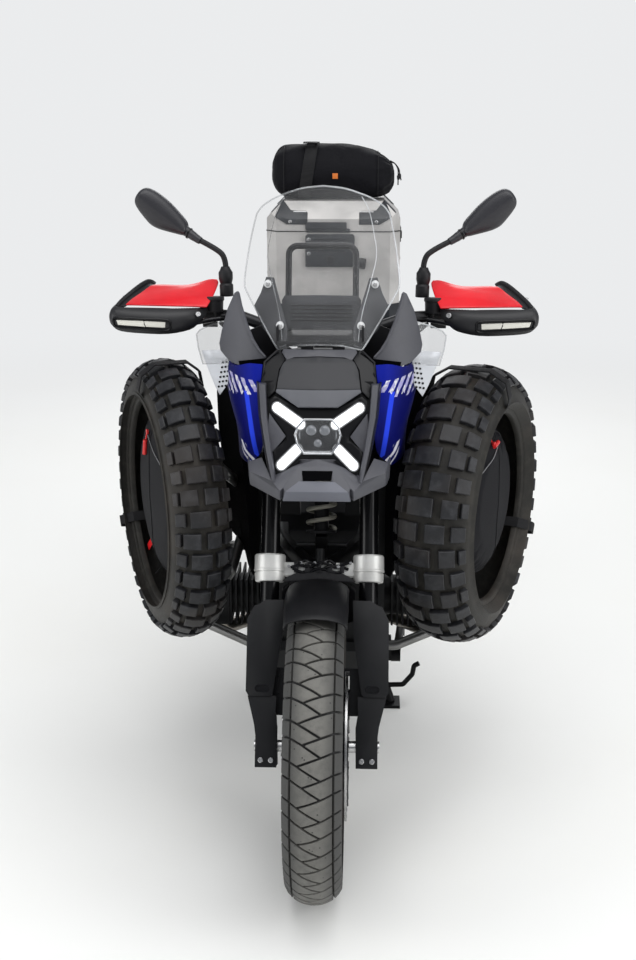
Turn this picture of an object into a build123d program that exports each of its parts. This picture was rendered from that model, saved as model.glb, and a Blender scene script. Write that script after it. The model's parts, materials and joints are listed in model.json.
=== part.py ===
from build123d import *
import os
from math import cos, radians, sin, sqrt, tan

# Adventure motorcycle on its centre stand, in millimetres.
# +X is the rider's left, +Y points to the tail, +Z is up and the tyres' floor is z = 0.
# A place along the bike is given as its distance behind the front axle.

# Overall driving sizes
OVERALL_LENGTH = 2212
WHEELBASE = 1518
SPARE_OUTER_X = 538
FIT = 0.3
MOVING_GAP = 5.0

# Wheels
FRONT_TYRE_RADIUS = 325
FRONT_TYRE_WIDTH = 120
FRONT_RIM_RADIUS = 241
FRONT_RIM_HALF = 44
REAR_TYRE_RADIUS = 318
REAR_TYRE_WIDTH = 170
REAR_RIM_RADIUS = 216
REAR_RIM_HALF = 62
REAR_LIFT = 20
TYRE_WALL = 11

# Steering
RAKE = 26.2
TRAIL = 112
FORK_HALF = 108
FORK_TUBE_RADIUS = 21
AXLE_RADIUS = 12.5
AXLE_BORE = 9
BRIDGE_LOW = 352
BRIDGE_HIGH = 398
YOKE_LOW = 850
YOKE_THICK = 22
STEM_RADIUS = 12
BAR_RADIUS = 14
BAR_REARWARD = 48
BAR_ALONG = 926
CLAMP_RADIUS = 33
DISC_X = 64
DISC_THICK = 4.6
DISC_RADIUS = 155

# Spare tyres: section half widths, crown and bead radii, shared place and turn
SPARE_TURN = 22
SPARE_BEHIND = 440
CRASH_BAR_RADIUS = 12.5
BAR_LOOP_HIGH = 844
BAR_LOOP_LOW = 566
BAG_RECESS = 22
LUG_DEPTH = 9

# Rear end
PIVOT_BEHIND = 920
PIVOT_HEIGHT = 400
PIVOT_RADIUS = 28
DRIVE_INNER_X = 94
DRIVE_OUTER_X = 166
HUB_BORE = 20

# Engine and stands
CRANK_HALF = 150
CRANK_REAR = 770
GEARBOX_HALF = 95
CYLINDER_BEHIND = 668
CYLINDER_HEIGHT = 408
HEAD_OUTER_X = 346
ENGINE_TOP = 606
ENGINE_LOW = 258
SPAR_X = 128
STRUT_TOP = 938
DOWN_TUBE_RADIUS = 14
RACK_POST_X = 100
RAIL_END = (RACK_POST_X, 1410, 845)
RACK_LOW = 958
RACK_HIGH = 966
STAND_PIVOT_BEHIND = 900
STAND_PIVOT_HEIGHT = 250
STAND_FOOT_BEHIND = 852
STAND_FOOT_HALF = 180
SIDE_STAND_BEHIND = 600
SIDE_STAND_HEIGHT = 268

# Luggage
CASE_FRONT = 1420
CASE_DEPTH = 340
CASE_HALF = 200
CASE_LOW = 980
CASE_SPLIT = 1265
CASE_HIGH = 1347
CASE_WALL = 4
CASE_BEVEL = 48

# Screen: its lower and upper edge at the middle (behind, height), and its curve
SCREEN_LOW = (190, 1154)
SCREEN_TOP = (425, 1472)
SCREEN_RADIUS = 330
SCREEN_THICK = 4
SHELF_TOP = 1164
NAV_BAR_HALF = 74
WING_LOW = 1102
WING_SLANT = 0.2
WING_THICK = 4

# Lamp: its flat face goes back as it rises
LAMP_LOW = (60, 945)
LAMP_SLANT = 0.42
LAMP_DEPTH = 12
BAR_RAISE = 5
BAR_WIDTH = 19

AXLE_Y = FRONT_TYRE_RADIUS - OVERALL_LENGTH / 2
TAIL_END = OVERALL_LENGTH - FRONT_TYRE_RADIUS
LEAN = (0, sin(radians(RAKE)), cos(radians(RAKE)))
AXIS_BACK = FRONT_TYRE_RADIUS * LEAN[1] - TRAIL * LEAN[2]
REAR_AXLE_HEIGHT = REAR_TYRE_RADIUS + REAR_LIFT
BASE = (Align.CENTER, Align.CENTER, Align.MIN)
FORK = Plane(origin=(0, AXLE_Y, FRONT_TYRE_RADIUS), x_dir=(1, 0, 0), z_dir=LEAN).location


# Helpers
def at(behind):
    """World Y of a place behind the front axle."""
    return AXLE_Y + behind


def rounded(points, radius):
    """Closed outline whose corners are arcs, each limited by its two sides."""
    corners = [Vector(*point) for point in points]
    bends = []
    for index, corner in enumerate(corners):
        before = corners[index - 1] - corner
        after = corners[(index + 1) % len(corners)] - corner
        half = radians(before.get_angle(after)) / 2
        cut = min(radius / tan(half), 0.45 * before.length, 0.45 * after.length)
        start = corner + before.normalized() * cut
        end = corner + after.normalized() * cut
        bow = cut * tan(half) * (1 / sin(half) - 1)
        middle = corner + (before.normalized() + after.normalized()).normalized() * bow
        bends.append((start, middle, end))
    edges = [ThreePointArc(*bend) for bend in bends]
    edges += [Line(bend[2], bends[(index + 1) % len(bends)][0]) for index, bend in enumerate(bends)]
    return Wire(edges)


def outline(points, radius=0):
    if radius:
        return make_face(rounded(points, radius))
    return make_face(Polyline(*points, close=True))


def from_side(points, x0, x1, radius=0):
    """Side outline of (behind, height) points, drawn across from x0 to x1."""
    face = outline([(x0, at(d), z) for d, z in points], radius)
    return extrude(face, amount=x1 - x0, dir=(1, 0, 0))


def across(points, half, radius=0):
    return from_side(points, -half, half, radius)


def from_front(points, d0, d1, radius=0):
    """Front outline of (x, height) points, drawn rearwards from d0 to d1."""
    face = outline([(x, at(d0), z) for x, z in points], radius)
    return extrude(face, amount=d1 - d0, dir=(0, 1, 0))


def from_top(points, z0, z1, radius=0):
    """Top outline of (x, behind) points, drawn upwards from z0 to z1."""
    face = outline([(x, at(d), z0) for x, d in points], radius)
    return extrude(face, amount=z1 - z0, dir=(0, 0, 1))


def symmetric(points):
    """A half outline on the +X side, closed by its mirror image."""
    return points + [(-x, v) for x, v in reversed(points)]


def fork_plate(points, low, high, radius=0):
    """Outline of (x, rearward) points in the fork's frame, from low to high along it."""
    face = outline([(x, y, low) for x, y in points], radius)
    return FORK * extrude(face, amount=high - low, dir=(0, 0, 1))


def fork_front(points, y0, y1, radius=0):
    """Outline of (x, along) points in the fork's frame, from y0 to y1 rearward."""
    face = outline([(x, y0, t) for x, t in points], radius)
    return FORK * extrude(face, amount=y1 - y0, dir=(0, 1, 0))


def fork_cylinder(x, rearward, low, high, radius):
    return FORK * Pos(x, rearward, low) * Cylinder(radius, high - low, align=BASE)


def tube(points, radius, bend=0):
    """Round bar through points (x, behind, height) with bent corners."""
    path = [(x, at(d), z) for x, d, z in points]
    line = FilletPolyline(*path, radius=bend) if bend else Polyline(*path)
    return sweep(Plane(line @ 0, z_dir=line % 0) * Circle(radius), path=line)


def cross_rod(behind, height, x0, x1, radius):
    """Cylinder along X."""
    return Pos(x0, at(behind), height) * Rot(0, 90, 0) * Cylinder(radius, x1 - x0, align=BASE)


def box(x0, x1, d0, d1, z0, z1):
    size = Box(x1 - x0, d1 - d0, z1 - z0, align=(Align.MIN, Align.MIN, Align.MIN))
    return Pos(x0, at(d0), z0) * size


def other_side(shape):
    return mirror(shape, about=Plane.YZ)


def both(shape):
    return [shape, other_side(shape)]


def joined(shapes):
    return Part() + list(shapes)


def lathe(section, centre_behind, centre_height):
    """Section of (x, radius) points turned about an axle along X."""
    ring = revolve(outline([(x, r, 0) for x, r in section]), axis=Axis.X)
    return Pos(0, at(centre_behind), centre_height) * ring


def save(name, *shapes):
    solids = []
    for shape in shapes:
        solids.extend(shape.solids())
    export_step(Compound(children=solids), f"parts/{name}.step")


def tyre_section(crown, width, bead, bead_half):
    """Open ring section of a tyre: crown, shoulders, sidewalls and beads."""
    half = width / 2
    outer = [(bead_half, bead), (bead_half, bead + 16), (half, bead + 42),
             (half * 0.95, crown - 34), (half * 0.55, crown)]
    inner = [(half * 0.5, crown - TYRE_WALL - 4), (half - TYRE_WALL, bead + 42),
             (bead_half - TYRE_WALL, bead)]
    ring = outer + [(-x, r) for x, r in reversed(outer)]
    hollow = [(-x, r) for x, r in reversed(inner)] + inner
    return ring + hollow


def wheel_rim(rim_radius, rim_half, hub_radius, hub_low, hub_high, bore, spokes, spoke_half):
    """Cast rim with its hub and straight spokes, about an axle along X at the origin."""
    flange = rim_half + FIT
    barrel = [(-flange - 5, rim_radius + 12), (-flange, rim_radius + 12), (-flange, rim_radius - FIT),
              (-rim_half + 14, rim_radius - FIT), (-rim_half + 20, rim_radius - 16),
              (rim_half - 20, rim_radius - 16), (rim_half - 14, rim_radius - FIT),
              (flange, rim_radius - FIT), (flange, rim_radius + 12), (flange + 5, rim_radius + 12),
              (flange + 5, rim_radius - 8), (rim_half - 16, rim_radius - 24),
              (-rim_half + 16, rim_radius - 24), (-flange - 5, rim_radius - 8)]
    ring = revolve(outline([(x, r, 0) for x, r in barrel]), axis=Axis.X)
    hub = Pos(hub_low, 0, 0) * Rot(0, 90, 0) * Cylinder(hub_radius, hub_high - hub_low, align=BASE)
    reach = rim_radius - 20
    arm = Pos(0, 0, reach / 2) * Box(2 * spoke_half, 24, reach)
    arms = [Rot(360 * index / spokes, 0, 0) * arm for index in range(spokes)]
    wheel = joined([ring, hub] + arms)
    hole = Pos(hub_low - 1, 0, 0) * Rot(0, 90, 0) * Cylinder(bore, hub_high - hub_low + 2, align=BASE)
    return wheel - hole


# Spare tyres, seen in the left one's frame: outward, rearward and up
def spare(width, crown, bead, repeats, height):
    """Named sizes of one spare tyre, its lug repeats and its place on the left side."""
    turn = radians(SPARE_TURN)
    section = tyre_section(crown, width, bead, width / 2 - 24)
    reach = max(x * cos(turn) + r * sin(turn) for x, r in section)
    return {"width": width, "crown": crown, "bead": bead, "repeats": repeats, "height": height,
            "x": SPARE_OUTER_X - reach}


SPARE_LEFT = spare(width=180, crown=330, bead=220, repeats=18, height=734)
SPARE_RIGHT = spare(width=144, crown=333, bead=240, repeats=21, height=740)


def spare_point(tyre, along, outward, height):
    """World (x, behind, height) of a place in the spare tyre's frame."""
    turn = radians(SPARE_TURN)
    x = tyre["x"] + outward * cos(turn) + along * sin(turn)
    behind = SPARE_BEHIND - outward * sin(turn) + along * cos(turn)
    return (x, behind, height)


def place_spare(tyre, shape):
    return Pos(tyre["x"], at(SPARE_BEHIND), tyre["height"]) * Rot(0, 0, -SPARE_TURN) * shape


def lug_rows(tyre):
    """Lug sections as (x, radius) corners, each with its place and length in one repeat."""
    half = tyre["width"] / 2
    top = tyre["crown"]
    low = top - LUG_DEPTH - 3
    shoulder = [(half * 0.97, top - 40), (half * 0.95, top - 34), (half * 0.56, top), (half * 0.5, low)]
    centre = [(2, low), (2, top), (half * 0.42, top), (half * 0.42, low)]
    rows = []
    for section, place, length in [(shoulder, 0.0, 0.36), (centre, 0.22, 0.34), (shoulder, 0.5, 0.3)]:
        other = [(-x, r) for x, r in section]
        rows.append((section, place, length))
        rows.append((other, place + 0.5, length))
    return rows


def spare_tyre(tyre):
    """Knobbed tyre: a smooth carcass with rows of lugs up to the full section."""
    half = tyre["width"] / 2
    section = tyre_section(tyre["crown"], tyre["width"], tyre["bead"], half - 24)
    carcass = []
    for x, r in section:
        if r > tyre["crown"] - TYRE_WALL:
            carcass.append((x, r - LUG_DEPTH))
        elif r > tyre["crown"] - 40 and abs(x) > half * 0.9:
            carcass.append((x * 0.93, r - LUG_DEPTH))
        else:
            carcass.append((x, r))
    ring = revolve(outline([(x, r, 0) for x, r in carcass]), axis=Axis.X)
    pitch = 360 / tyre["repeats"]
    lugs = []
    for corners, place, length in lug_rows(tyre):
        run = radians(pitch) * tyre["crown"] * length
        lug = extrude(outline([(x, -run / 2, r) for x, r in corners]), amount=run, dir=(0, 1, 0))
        lugs += [Rot(pitch * (index + place), 0, 0) * lug for index in range(tyre["repeats"])]
    return place_spare(tyre, joined([ring] + lugs))


def tyre_bag(tyre):
    radius = tyre["bead"] - FIT
    half = tyre["width"] / 2 - BAG_RECESS
    seat = half - 9
    section = [(-half, 0), (-half, radius - 30), (-seat, radius), (seat, radius), (half, radius - 30),
               (half + 6, 0)]
    return place_spare(tyre, revolve(outline([(x, r, 0) for x, r in section]), axis=Axis.X))


def crash_bars(tyre):
    """Upper loop that carries the spare tyre, and the bar round the cylinder head."""
    r = CRASH_BAR_RADIUS
    behind_tyre = -(tyre["width"] / 2 + FIT + r)
    front, back, high, low = -170, 250, BAR_LOOP_HIGH, BAR_LOOP_LOW

    def loop(along, height):
        return spare_point(tyre, along, behind_tyre, height)

    seat = SPAR_X + DOWN_TUBE_RADIUS + FIT
    foot = loop(back, low - 40)
    upper = tube([(seat, 508, 740), (seat + 44, 508, 740), loop(front, high), loop(back, high), foot,
                  (CRANK_HALF + FIT, foot[1], foot[2])], r, 20)
    lower = tube([(seat, 513, 676), (seat + 44, 513, 676), loop(front, low), loop(back, low)], r, 20)
    front_post = tube([loop(front + 36, low), loop(front + 36, high)], r)
    outside = HEAD_OUTER_X + 36
    ahead = CYLINDER_BEHIND - 84
    head_bar = tube([(CRANK_HALF + FIT, 520, 330), (182, 520, 330), (300, ahead - 8, 358),
                     (outside, ahead, 376), (outside, CYLINDER_BEHIND + 66, 420), foot], r, 26)
    return joined([upper, lower, front_post, head_bar])


# Engine
def engine_case():
    profile = [(540, 262), (498, 330), (492, 560), (505, ENGINE_TOP), (600, ENGINE_TOP),
               (640, 640), (CRANK_REAR, 640), (CRANK_REAR, 262), (740, ENGINE_LOW)]
    block = across(profile, CRANK_HALF, 18)
    back = PIVOT_BEHIND - PIVOT_RADIUS - FIT
    gearbox = across([(CRANK_REAR - 5, 292), (CRANK_REAR - 5, 630), (800, 630), (868, 520), (back, 450),
                      (back, 324), (CRANK_REAR + 20, 292)], GEARBOX_HALF, 10)
    cover = Pos(0, at(470), 440) * Rot(-90, 0, 0) * Cylinder(78, 60, align=BASE)
    return joined([block, gearbox, cover])


def cylinder_side():
    """Finned barrel and head of the left cylinder, out to its cover."""
    x, z = CYLINDER_BEHIND, CYLINDER_HEIGHT
    barrel = cross_rod(x, z, CRANK_HALF + FIT, 250, 52)
    fins = [box(170 + 14 * n, 175 + 14 * n, x - 66, x + 66, z - 60, z + 60) for n in range(6)]
    head = box(246, 300, x - 68, x + 68, z - 62, z + 62)
    return joined([barrel, head] + fins)


def head_cover_side():
    x, z = CYLINDER_BEHIND, CYLINDER_HEIGHT
    profile = [(x - 66, z - 46), (x - 66, z + 46), (x - 40, z + 60), (x + 40, z + 60),
               (x + 66, z + 46), (x + 66, z - 46), (x + 40, z - 60), (x - 40, z - 60)]
    cover = from_side(profile, 300 + FIT, HEAD_OUTER_X, 12)
    return cover


def exhaust():
    """Two headers, a collector under the gearbox and the silencer on the right."""
    z = CYLINDER_HEIGHT - 62 - FIT
    d = CYLINDER_BEHIND
    left = tube([(272, d, z), (272, d, 306), (192, 752, 304), (150, 806, 296), (60, 822, 262),
                 (-50, 822, 262), (-118, 852, 290), (-118, 934, 304)], 19, 26)
    right = tube([(-272, d, z), (-272, d, 306), (-192, 752, 304), (-134, 850, 300),
                  (-118, 900, 304), (-118, 960, 305)], 19, 26)
    link = tube([(-118, 925, 304), (-128, 1080, 312), (-165, 1240, 400), (-172, 1300, 430)], 27, 60)
    nose = Plane(origin=(-172, at(1290), 425), z_dir=(-0.03, 0.90, 0.43))
    can = nose * extrude(SlotOverall(150, 105, rotation=90), amount=430)
    return joined([left, right, link, can])


def skid_plate():
    outer = [(486, 352), (478, 330), (532, 236), (740, 232), (740, 237), (535, 241), (483, 331),
             (491, 350)]
    plate = across(outer, 120)
    pads = [box(x - 12, x + 12, d - 15, d + 15, 236, ENGINE_LOW - FIT)
            for x in (-90, 90) for d in (600, 715)]
    return joined([plate] + pads)


# Frame
def main_frame():
    """Steering head, spars beside the tank and down to the swingarm pivot, lamp bracket."""
    head = fork_cylinder(0, AXIS_BACK, YOKE_LOW - 50, YOKE_LOW - MOVING_GAP, 28)
    gusset = across([(366, STRUT_TOP + FIT), (366, 975), (392, 1000), (412, 1034), (440, 1014), (530, 950),
                     (520, 900), (460, 896), (420, STRUT_TOP + FIT)], 30)
    nose = across([(212, 975), (229.8, 1015), (400, 1035), (400, 985), (380, 975)], 20)
    spar = tube([(0, 480, 965), (96, 540, 945), (SPAR_X, 700, 800), (SPAR_X, 840, 700),
                 (112, PIVOT_BEHIND, 500), (112, PIVOT_BEHIND, PIVOT_HEIGHT + PIVOT_RADIUS + FIT)], 15, 30)
    down = tube([(20, 470, 930), (104, 500, 880), (SPAR_X, 508, 800), (SPAR_X, 508, 700),
                 (SPAR_X, 520, ENGINE_TOP + 40), (SPAR_X, 520, ENGINE_TOP + FIT)], DOWN_TUBE_RADIUS, 16)
    seat_rail = tube([(SPAR_X, 800, 735), (118, 1000, 790), (RACK_POST_X, 1300, 830), RAIL_END], 12, 60)
    stay = tube([(112, 905, 520), (120, 1000, 640), (104, 1240, 815)], 11, 40)
    half = [spar, down, seat_rail, stay]
    frame = joined([head, gusset, nose] + half + [other_side(piece) for piece in half])
    frame = frame - fork_cylinder(0, AXIS_BACK, YOKE_LOW - 60, YOKE_LOW + 10, STEM_RADIUS + FIT)
    return frame


def fuel_tank():
    side = across([(447.2, 999.2), (480, 1062), (560, 1082), (680, 1042), (770, 925), (780, 850),
                   (715.4, 821.1), (555.4, 969.1), (468.8, 1010.5)], 170, 10)
    plan = from_top(symmetric([(60, 440), (150, 500), (165, 600), (120, 740), (70, 790)]), 780, 1100, 20)
    front = from_front(symmetric([(165, 790), (168, 960), (120, 1060), (60, 1084)]), 430, 800, 18)
    return side & plan & front


def side_panel():
    """Shroud beside the lamp, from the beak back along the tank."""
    skin = [(131, 142), (150, 158), (166, 216), (186, 305), (197, 400), (194, 520), (176, 660), (170, 660),
            (189, 518), (192, 400), (181.5, 307), (161.5, 219), (146, 160.5), (128.4, 145.5)]
    plan = from_top(skin, 800, 1120)
    side = from_side([(142, 968), (176, 946), (262, 888), (420, 872), (600, 880), (660, 940), (640, 1010),
                      (480, 1078), (330, 1098), (200, 1112), (142, 1104)], 100, 260, 14)
    return (plan & side) - front_cowl() - wind_deflector()


# Cowl and lamp
def lamp_face(height):
    """Distance behind the axle of the lamp's face at a height."""
    return LAMP_LOW[0] + (height - LAMP_LOW[1]) * LAMP_SLANT


def lamp_slab(lift, depth):
    """Slab along the lamp's face, from lift in front of it to depth behind it."""
    low, high = 880, 1110
    corners = [(lamp_face(low) - lift, low), (lamp_face(high) - lift, high), (lamp_face(high) + depth, high),
               (lamp_face(low) + depth, low)]
    return across(corners, 130)


def front_cowl():
    """Beak with its slot, the ribs beside the lamp and the box behind them."""
    side = across([(4, 876), (-2, 898), (21, 914), (36, 930), (60, 968), (92, 1030), (122, 1092), (150, 1120),
                   (184, 1150), (195, 1152), (290, 1152), (178, 900), (160, 868), (60, 868)], 160)
    front = from_front(symmetric([(69, 866), (140, 884), (148, 905), (146, 933), (134, 962), (128.1, 1000),
                                  (128.1, 1092), (116, 1128), (88, 1153)]), -10, 320)
    beak = from_top(symmetric([(69, -2), (76, 2), (140, 52), (148, 92), (152, 300)]), 840, 1160)
    cowl = side & front & beak
    niche = from_front(symmetric([(38, 938), (80, 920), (94, 950), (110, 1090), (41, 1054)]), -20, 200)
    cowl = cowl - (niche & lamp_slab(120, LAMP_DEPTH + FIT))
    slot = from_front(symmetric([(29, 914), (31, 930)]), -20, 52)
    rib_gap = from_front([(80, 912), (87, 908), (119, 1088), (112, 1088)], -20, 200)
    ridge = across([(20, 900), (120, 1100), (128, 1096), (28, 896)], 160)
    gap = rib_gap & Pos(0, 8, 0) * ridge
    return cowl - slot - gap - other_side(gap)


def lamp_bar(start, end):
    """Outline of a light bar with round ends between two (x, height) points."""
    run = Vector(*end) - Vector(*start)
    middle = (Vector(*end) + Vector(*start)) / 2
    slot = SlotCenterToCenter(run.length, BAR_WIDTH, rotation=Vector(1, 0).get_signed_angle(run))
    face = Plane(origin=(middle.X, at(0), middle.Y), x_dir=(1, 0, 0), z_dir=(0, -1, 0)).location * slot
    return extrude(face, amount=200, dir=(0, 1, 0))


def headlamp():
    """Crossed surround with four raised light bars and the middle unit."""
    cross = from_front(symmetric([(34, 946), (70, 919), (84, 922), (93, 950), (90, 966), (63, 986), (66, 997),
                                  (101, 1040), (101, 1060), (90, 1069), (44, 1052)]), 20, 200)
    surround = cross & lamp_slab(1, LAMP_DEPTH)
    bars = [lamp_bar((36, 1016), (85, 1048)), lamp_bar((42, 968), (74, 938))]
    raised = [bar & lamp_slab(BAR_RAISE, LAMP_DEPTH) for bar in bars]
    pod = from_front(symmetric([(29, 959), (44, 978), (49, 996), (44, 1012), (29, 1028)]), 20, 200)
    pod = pod & lamp_slab(BAR_RAISE + 2, LAMP_DEPTH)
    return joined([surround, pod] + raised + [other_side(bar) for bar in raised]) - front_cowl()


def hood_panel():
    """Sloping hood over the lamp with its lip."""
    skin = across([(80, 1054), (100, 1081), (131, 1110), (162, 1137), (180, 1152), (188, 1152), (168, 1134),
                   (138, 1107), (110, 1081), (90, 1054)], 90)
    front = from_front(symmetric([(41, 1054), (88, 1079), (86, 1085), (84, 1100), (80, 1119), (70, 1133),
                                  (66, 1152)]), 60, 200)
    return (skin & front) - front_cowl() - headlamp()


def screen_core(depth):
    """Upright cylinder laid back like the screen, its front behind the screen's face by depth."""
    run = SCREEN_TOP[0] - SCREEN_LOW[0]
    rise = SCREEN_TOP[1] - SCREEN_LOW[1]
    length = sqrt(run * run + rise * rise)
    axis = (0, run / length, rise / length)
    back = (0, axis[2], -axis[1])
    radius = SCREEN_RADIUS - depth
    start = (0, at(SCREEN_LOW[0]) + back[1] * SCREEN_RADIUS - axis[1] * 120,
             SCREEN_LOW[1] + back[2] * SCREEN_RADIUS - axis[2] * 120)
    place = Plane(origin=start, x_dir=(1, 0, 0), z_dir=axis).location
    return place * Cylinder(radius, length + 240, align=BASE)


def screen_shell(depth, thickness):
    return screen_core(depth) - screen_core(depth + thickness)


def windscreen():
    plan = symmetric([(84, 1153), (92, 1154), (128, 1202), (164, 1254), (168.5, 1268), (168, 1290),
                      (160, 1350), (149, 1402), (133, 1427), (110, 1442), (84, 1453), (45, 1465)])
    return screen_shell(0, SCREEN_THICK) & from_front(plan, 150, 500, 5)


def screen_brackets():
    """Plates behind the screen's lower corners and the shelf that carries the dash."""
    plate = screen_shell(SCREEN_THICK + FIT, 5)
    plate = plate & from_front([(76, 1156), (86, 1156), (124, 1184), (146, 1226), (132, 1252), (121, 1284),
                                (104, 1284), (98, 1266), (70, 1186)], 150, 500)
    behind_screen = screen_core(SCREEN_THICK + FIT)
    shelf = box(-95, 95, 205, 350, SHELF_TOP - 11.7, SHELF_TOP) & behind_screen
    foot = from_side([(205, SHELF_TOP - 1), (270, SHELF_TOP - 1), (270, 1190), (240, 1205)], 88, 93)
    foot = foot & behind_screen
    return [joined([shelf, foot, other_side(foot), plate, other_side(plate)])]


def slanted(points, height):
    """Top outline of (x, behind) points at the wings' foot, drawn up along their slant."""
    face = outline([(x, at(d), WING_LOW) for x, d in points])
    return extrude(face, amount=height * sqrt(1 + WING_SLANT ** 2), dir=(0, WING_SLANT, 1))


def wind_deflector():
    front_edge = [(110, 179.5), (129, 182.4), (150, 190), (165, 198), (190, 215), (222, 244)]
    back_edge = [(x, d + WING_THICK + 0.8) for x, d in reversed(front_edge)]
    band = slanted(front_edge + back_edge, 180)
    front = from_front([(176, 1266), (182, 1262), (198, 1228), (212, 1180), (218, 1152), (215, 1137),
                        (194, 1119), (160, 1110), (129, 1104), (118, 1118), (113, 1136), (128, 1152),
                        (141, 1172), (156, 1206), (167, 1238), (173, 1262)], 150, 320)
    return (band & front) - front_cowl()


def winglet():
    gap = WING_THICK + 0.8 + 1.5 * FIT
    band = slanted([(188, 213.5 + gap), (222, 244 + gap), (276, 262), (276, 265.5), (222, 247.5 + gap),
                    (186, 216 + gap)], 110)
    return band & from_front([(190, 1184), (234, 1178), (262, 1172), (270, 1164), (266, 1138),
                              (256, 1104), (232, 1106), (196, 1112)], 200, 360)


def instrument_panel():
    low = SHELF_TOP + FIT
    return across([(300, low), (308, low), (330, 1275), (318, 1280), (292, 1176)], 92)


def nav_bar():
    low = SHELF_TOP + FIT
    half = NAV_BAR_HALF
    return tube([(-half, 338, low), (-half, 338, 1200), (-half, 385, 1344), (half, 385, 1344),
                 (half, 338, 1200), (half, 338, low)], 7, 20)


def radiator_side():
    """Cooler with its wide black shroud in front of the engine."""
    core = from_front([(52, 712), (118, 716), (122, 612), (170, 602), (172, 652), (196, 660), (198, 742),
                       (172, 750), (172, 828), (196, 836), (196, 866), (60, 866)], 405, 440)
    tab = box(SPAR_X - 6, SPAR_X + 6, 438, 508 - DOWN_TUBE_RADIUS - FIT, 760, 780)
    return joined([core, tab])


# Front suspension
def telelever_arm():
    ball = AXIS_BACK
    plan = from_top(symmetric([(24, 205), (44, 300), (110, 480), (110, 536), (76, 536), (30, 370)]),
                    560, 740, 8)
    side = across([(190, 684), (230, 700), (345, 700), (540, 646), (540, ENGINE_TOP + FIT), (300, 664)], 140)
    arm = plan & side
    eye = fork_cylinder(0, ball, BRIDGE_HIGH + MOVING_GAP, BRIDGE_HIGH + 36, 27)
    sweep_room = fork_cylinder(0, ball, BRIDGE_LOW - 40, BRIDGE_HIGH + MOVING_GAP, 150)
    arm = joined([arm - sweep_room, eye])
    return arm - fork_cylinder(0, ball, BRIDGE_LOW, BRIDGE_HIGH + 60, 10 + FIT)


def front_strut():
    """Damper with the coils of its spring."""
    foot = (0, 318, 712)
    top = (0, 380, 926)
    line = Plane(origin=(0, at(foot[1]), foot[2]), z_dir=(0, top[1] - foot[1], top[2] - foot[2])).location
    length = sqrt((top[1] - foot[1]) ** 2 + (top[2] - foot[2]) ** 2)
    coils = 7
    pitch = (length - 62) / coils
    section = [(0, 0), (18, 0), (18, 22), (36, 22), (36, 32)]
    for index in range(coils):
        low = 32 + index * pitch
        section += [(24, low + pitch * 0.2), (36, low + pitch * 0.5), (36, low + pitch * 0.7)]
        section.append((24, low + pitch))
    section += [(36, length - 26), (36, length - 16), (18, length - 16), (18, length), (0, length)]
    body = line * revolve(outline([(r, 0, h) for r, h in section]), axis=Axis.Z)
    eyes = [box(-13, 13, 300, 336, 700 + FIT, 722), box(-13, 13, 364, 398, 912, STRUT_TOP)]
    return joined([body] + eyes)


# Steering assembly
def fork_tubes():
    return both(fork_cylinder(FORK_HALF, 0, 290, YOKE_LOW - FIT, FORK_TUBE_RADIUS))


def fork_slider():
    """Slider with its cover, lower leg and axle clamp."""
    x = FORK_HALF
    leg = fork_front([(x - 24, -44), (x + 20, -44), (x + 24, 20), (x + 30, 60), (x + 38, 98),
                      (x + 42, 112), (x + 42, 270), (x + 30, 300), (x - 32, 300), (x - 30, 240),
                      (x - 8, 100), (x - 24, 60)], -34, 28, 5)
    cut_front = fork_plate([(x - 60, -60), (x + 60, -60), (x + 60, -20), (x - 60, -30)], -60, 60)
    leg = leg - cut_front
    bore = FORK * Pos(40, 0, 0) * Rot(0, 90, 0) * Cylinder(AXLE_RADIUS + FIT, 140, align=BASE)
    socket = fork_cylinder(x, 0, 288, 320, FORK_TUBE_RADIUS + FIT)
    return leg - bore - socket


def fork_bridge():
    """Lower bridge with its two barrel clamps and the pin in the arm's eye."""
    r = CLAMP_RADIUS
    top = BRIDGE_HIGH + 14
    barrel = [(0, BRIDGE_LOW), (r - 5, BRIDGE_LOW), (r - 1, BRIDGE_LOW + 8), (r, BRIDGE_LOW + 22),
              (r + 1.5, BRIDGE_LOW + 23), (r + 1, top - 14), (r - 2, top - 2), (r - 4, top), (0, top)]
    clamp = FORK * Pos(FORK_HALF, 0, 0) * revolve(outline([(x, 0, z) for x, z in barrel]), axis=Axis.Z)
    cross = fork_plate(symmetric([(FORK_HALF, -16), (FORK_HALF, 18), (30, AXIS_BACK + 24)]),
                       BRIDGE_LOW + 10, BRIDGE_HIGH, 0)
    pin = fork_cylinder(0, AXIS_BACK, BRIDGE_LOW + 10, BRIDGE_HIGH + 34, 10)
    bridge = joined([clamp, other_side(clamp), cross, pin])
    for side in (1, -1):
        bridge = bridge - fork_cylinder(side * FORK_HALF, 0, 200, 500, FORK_TUBE_RADIUS + FIT)
    return bridge


def top_yoke():
    """Yoke plate, steering stem and the two handlebar clamps."""
    plate = fork_plate(symmetric([(FORK_HALF + 24, -20), (FORK_HALF + 24, 20), (52, AXIS_BACK + 26)]),
                       YOKE_LOW, YOKE_LOW + YOKE_THICK, 9)
    stem = fork_cylinder(0, AXIS_BACK, YOKE_LOW - 48, YOKE_LOW + YOKE_THICK, STEM_RADIUS)
    clamps = []
    for side in (1, -1):
        low = YOKE_LOW + YOKE_THICK - 1
        block = [(side * 36 - 14, 28), (side * 36 + 14, 28), (side * 36 + 14, 68), (side * 36 - 14, 68)]
        clamps.append(fork_plate(block, low, BAR_ALONG + 22))
    yoke = joined([plate, stem] + clamps)
    seat = FORK * Pos(-100, BAR_REARWARD, BAR_ALONG) * Rot(0, 90, 0)
    return yoke - seat * Cylinder(BAR_RADIUS + FIT, 200, align=BASE)


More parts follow.
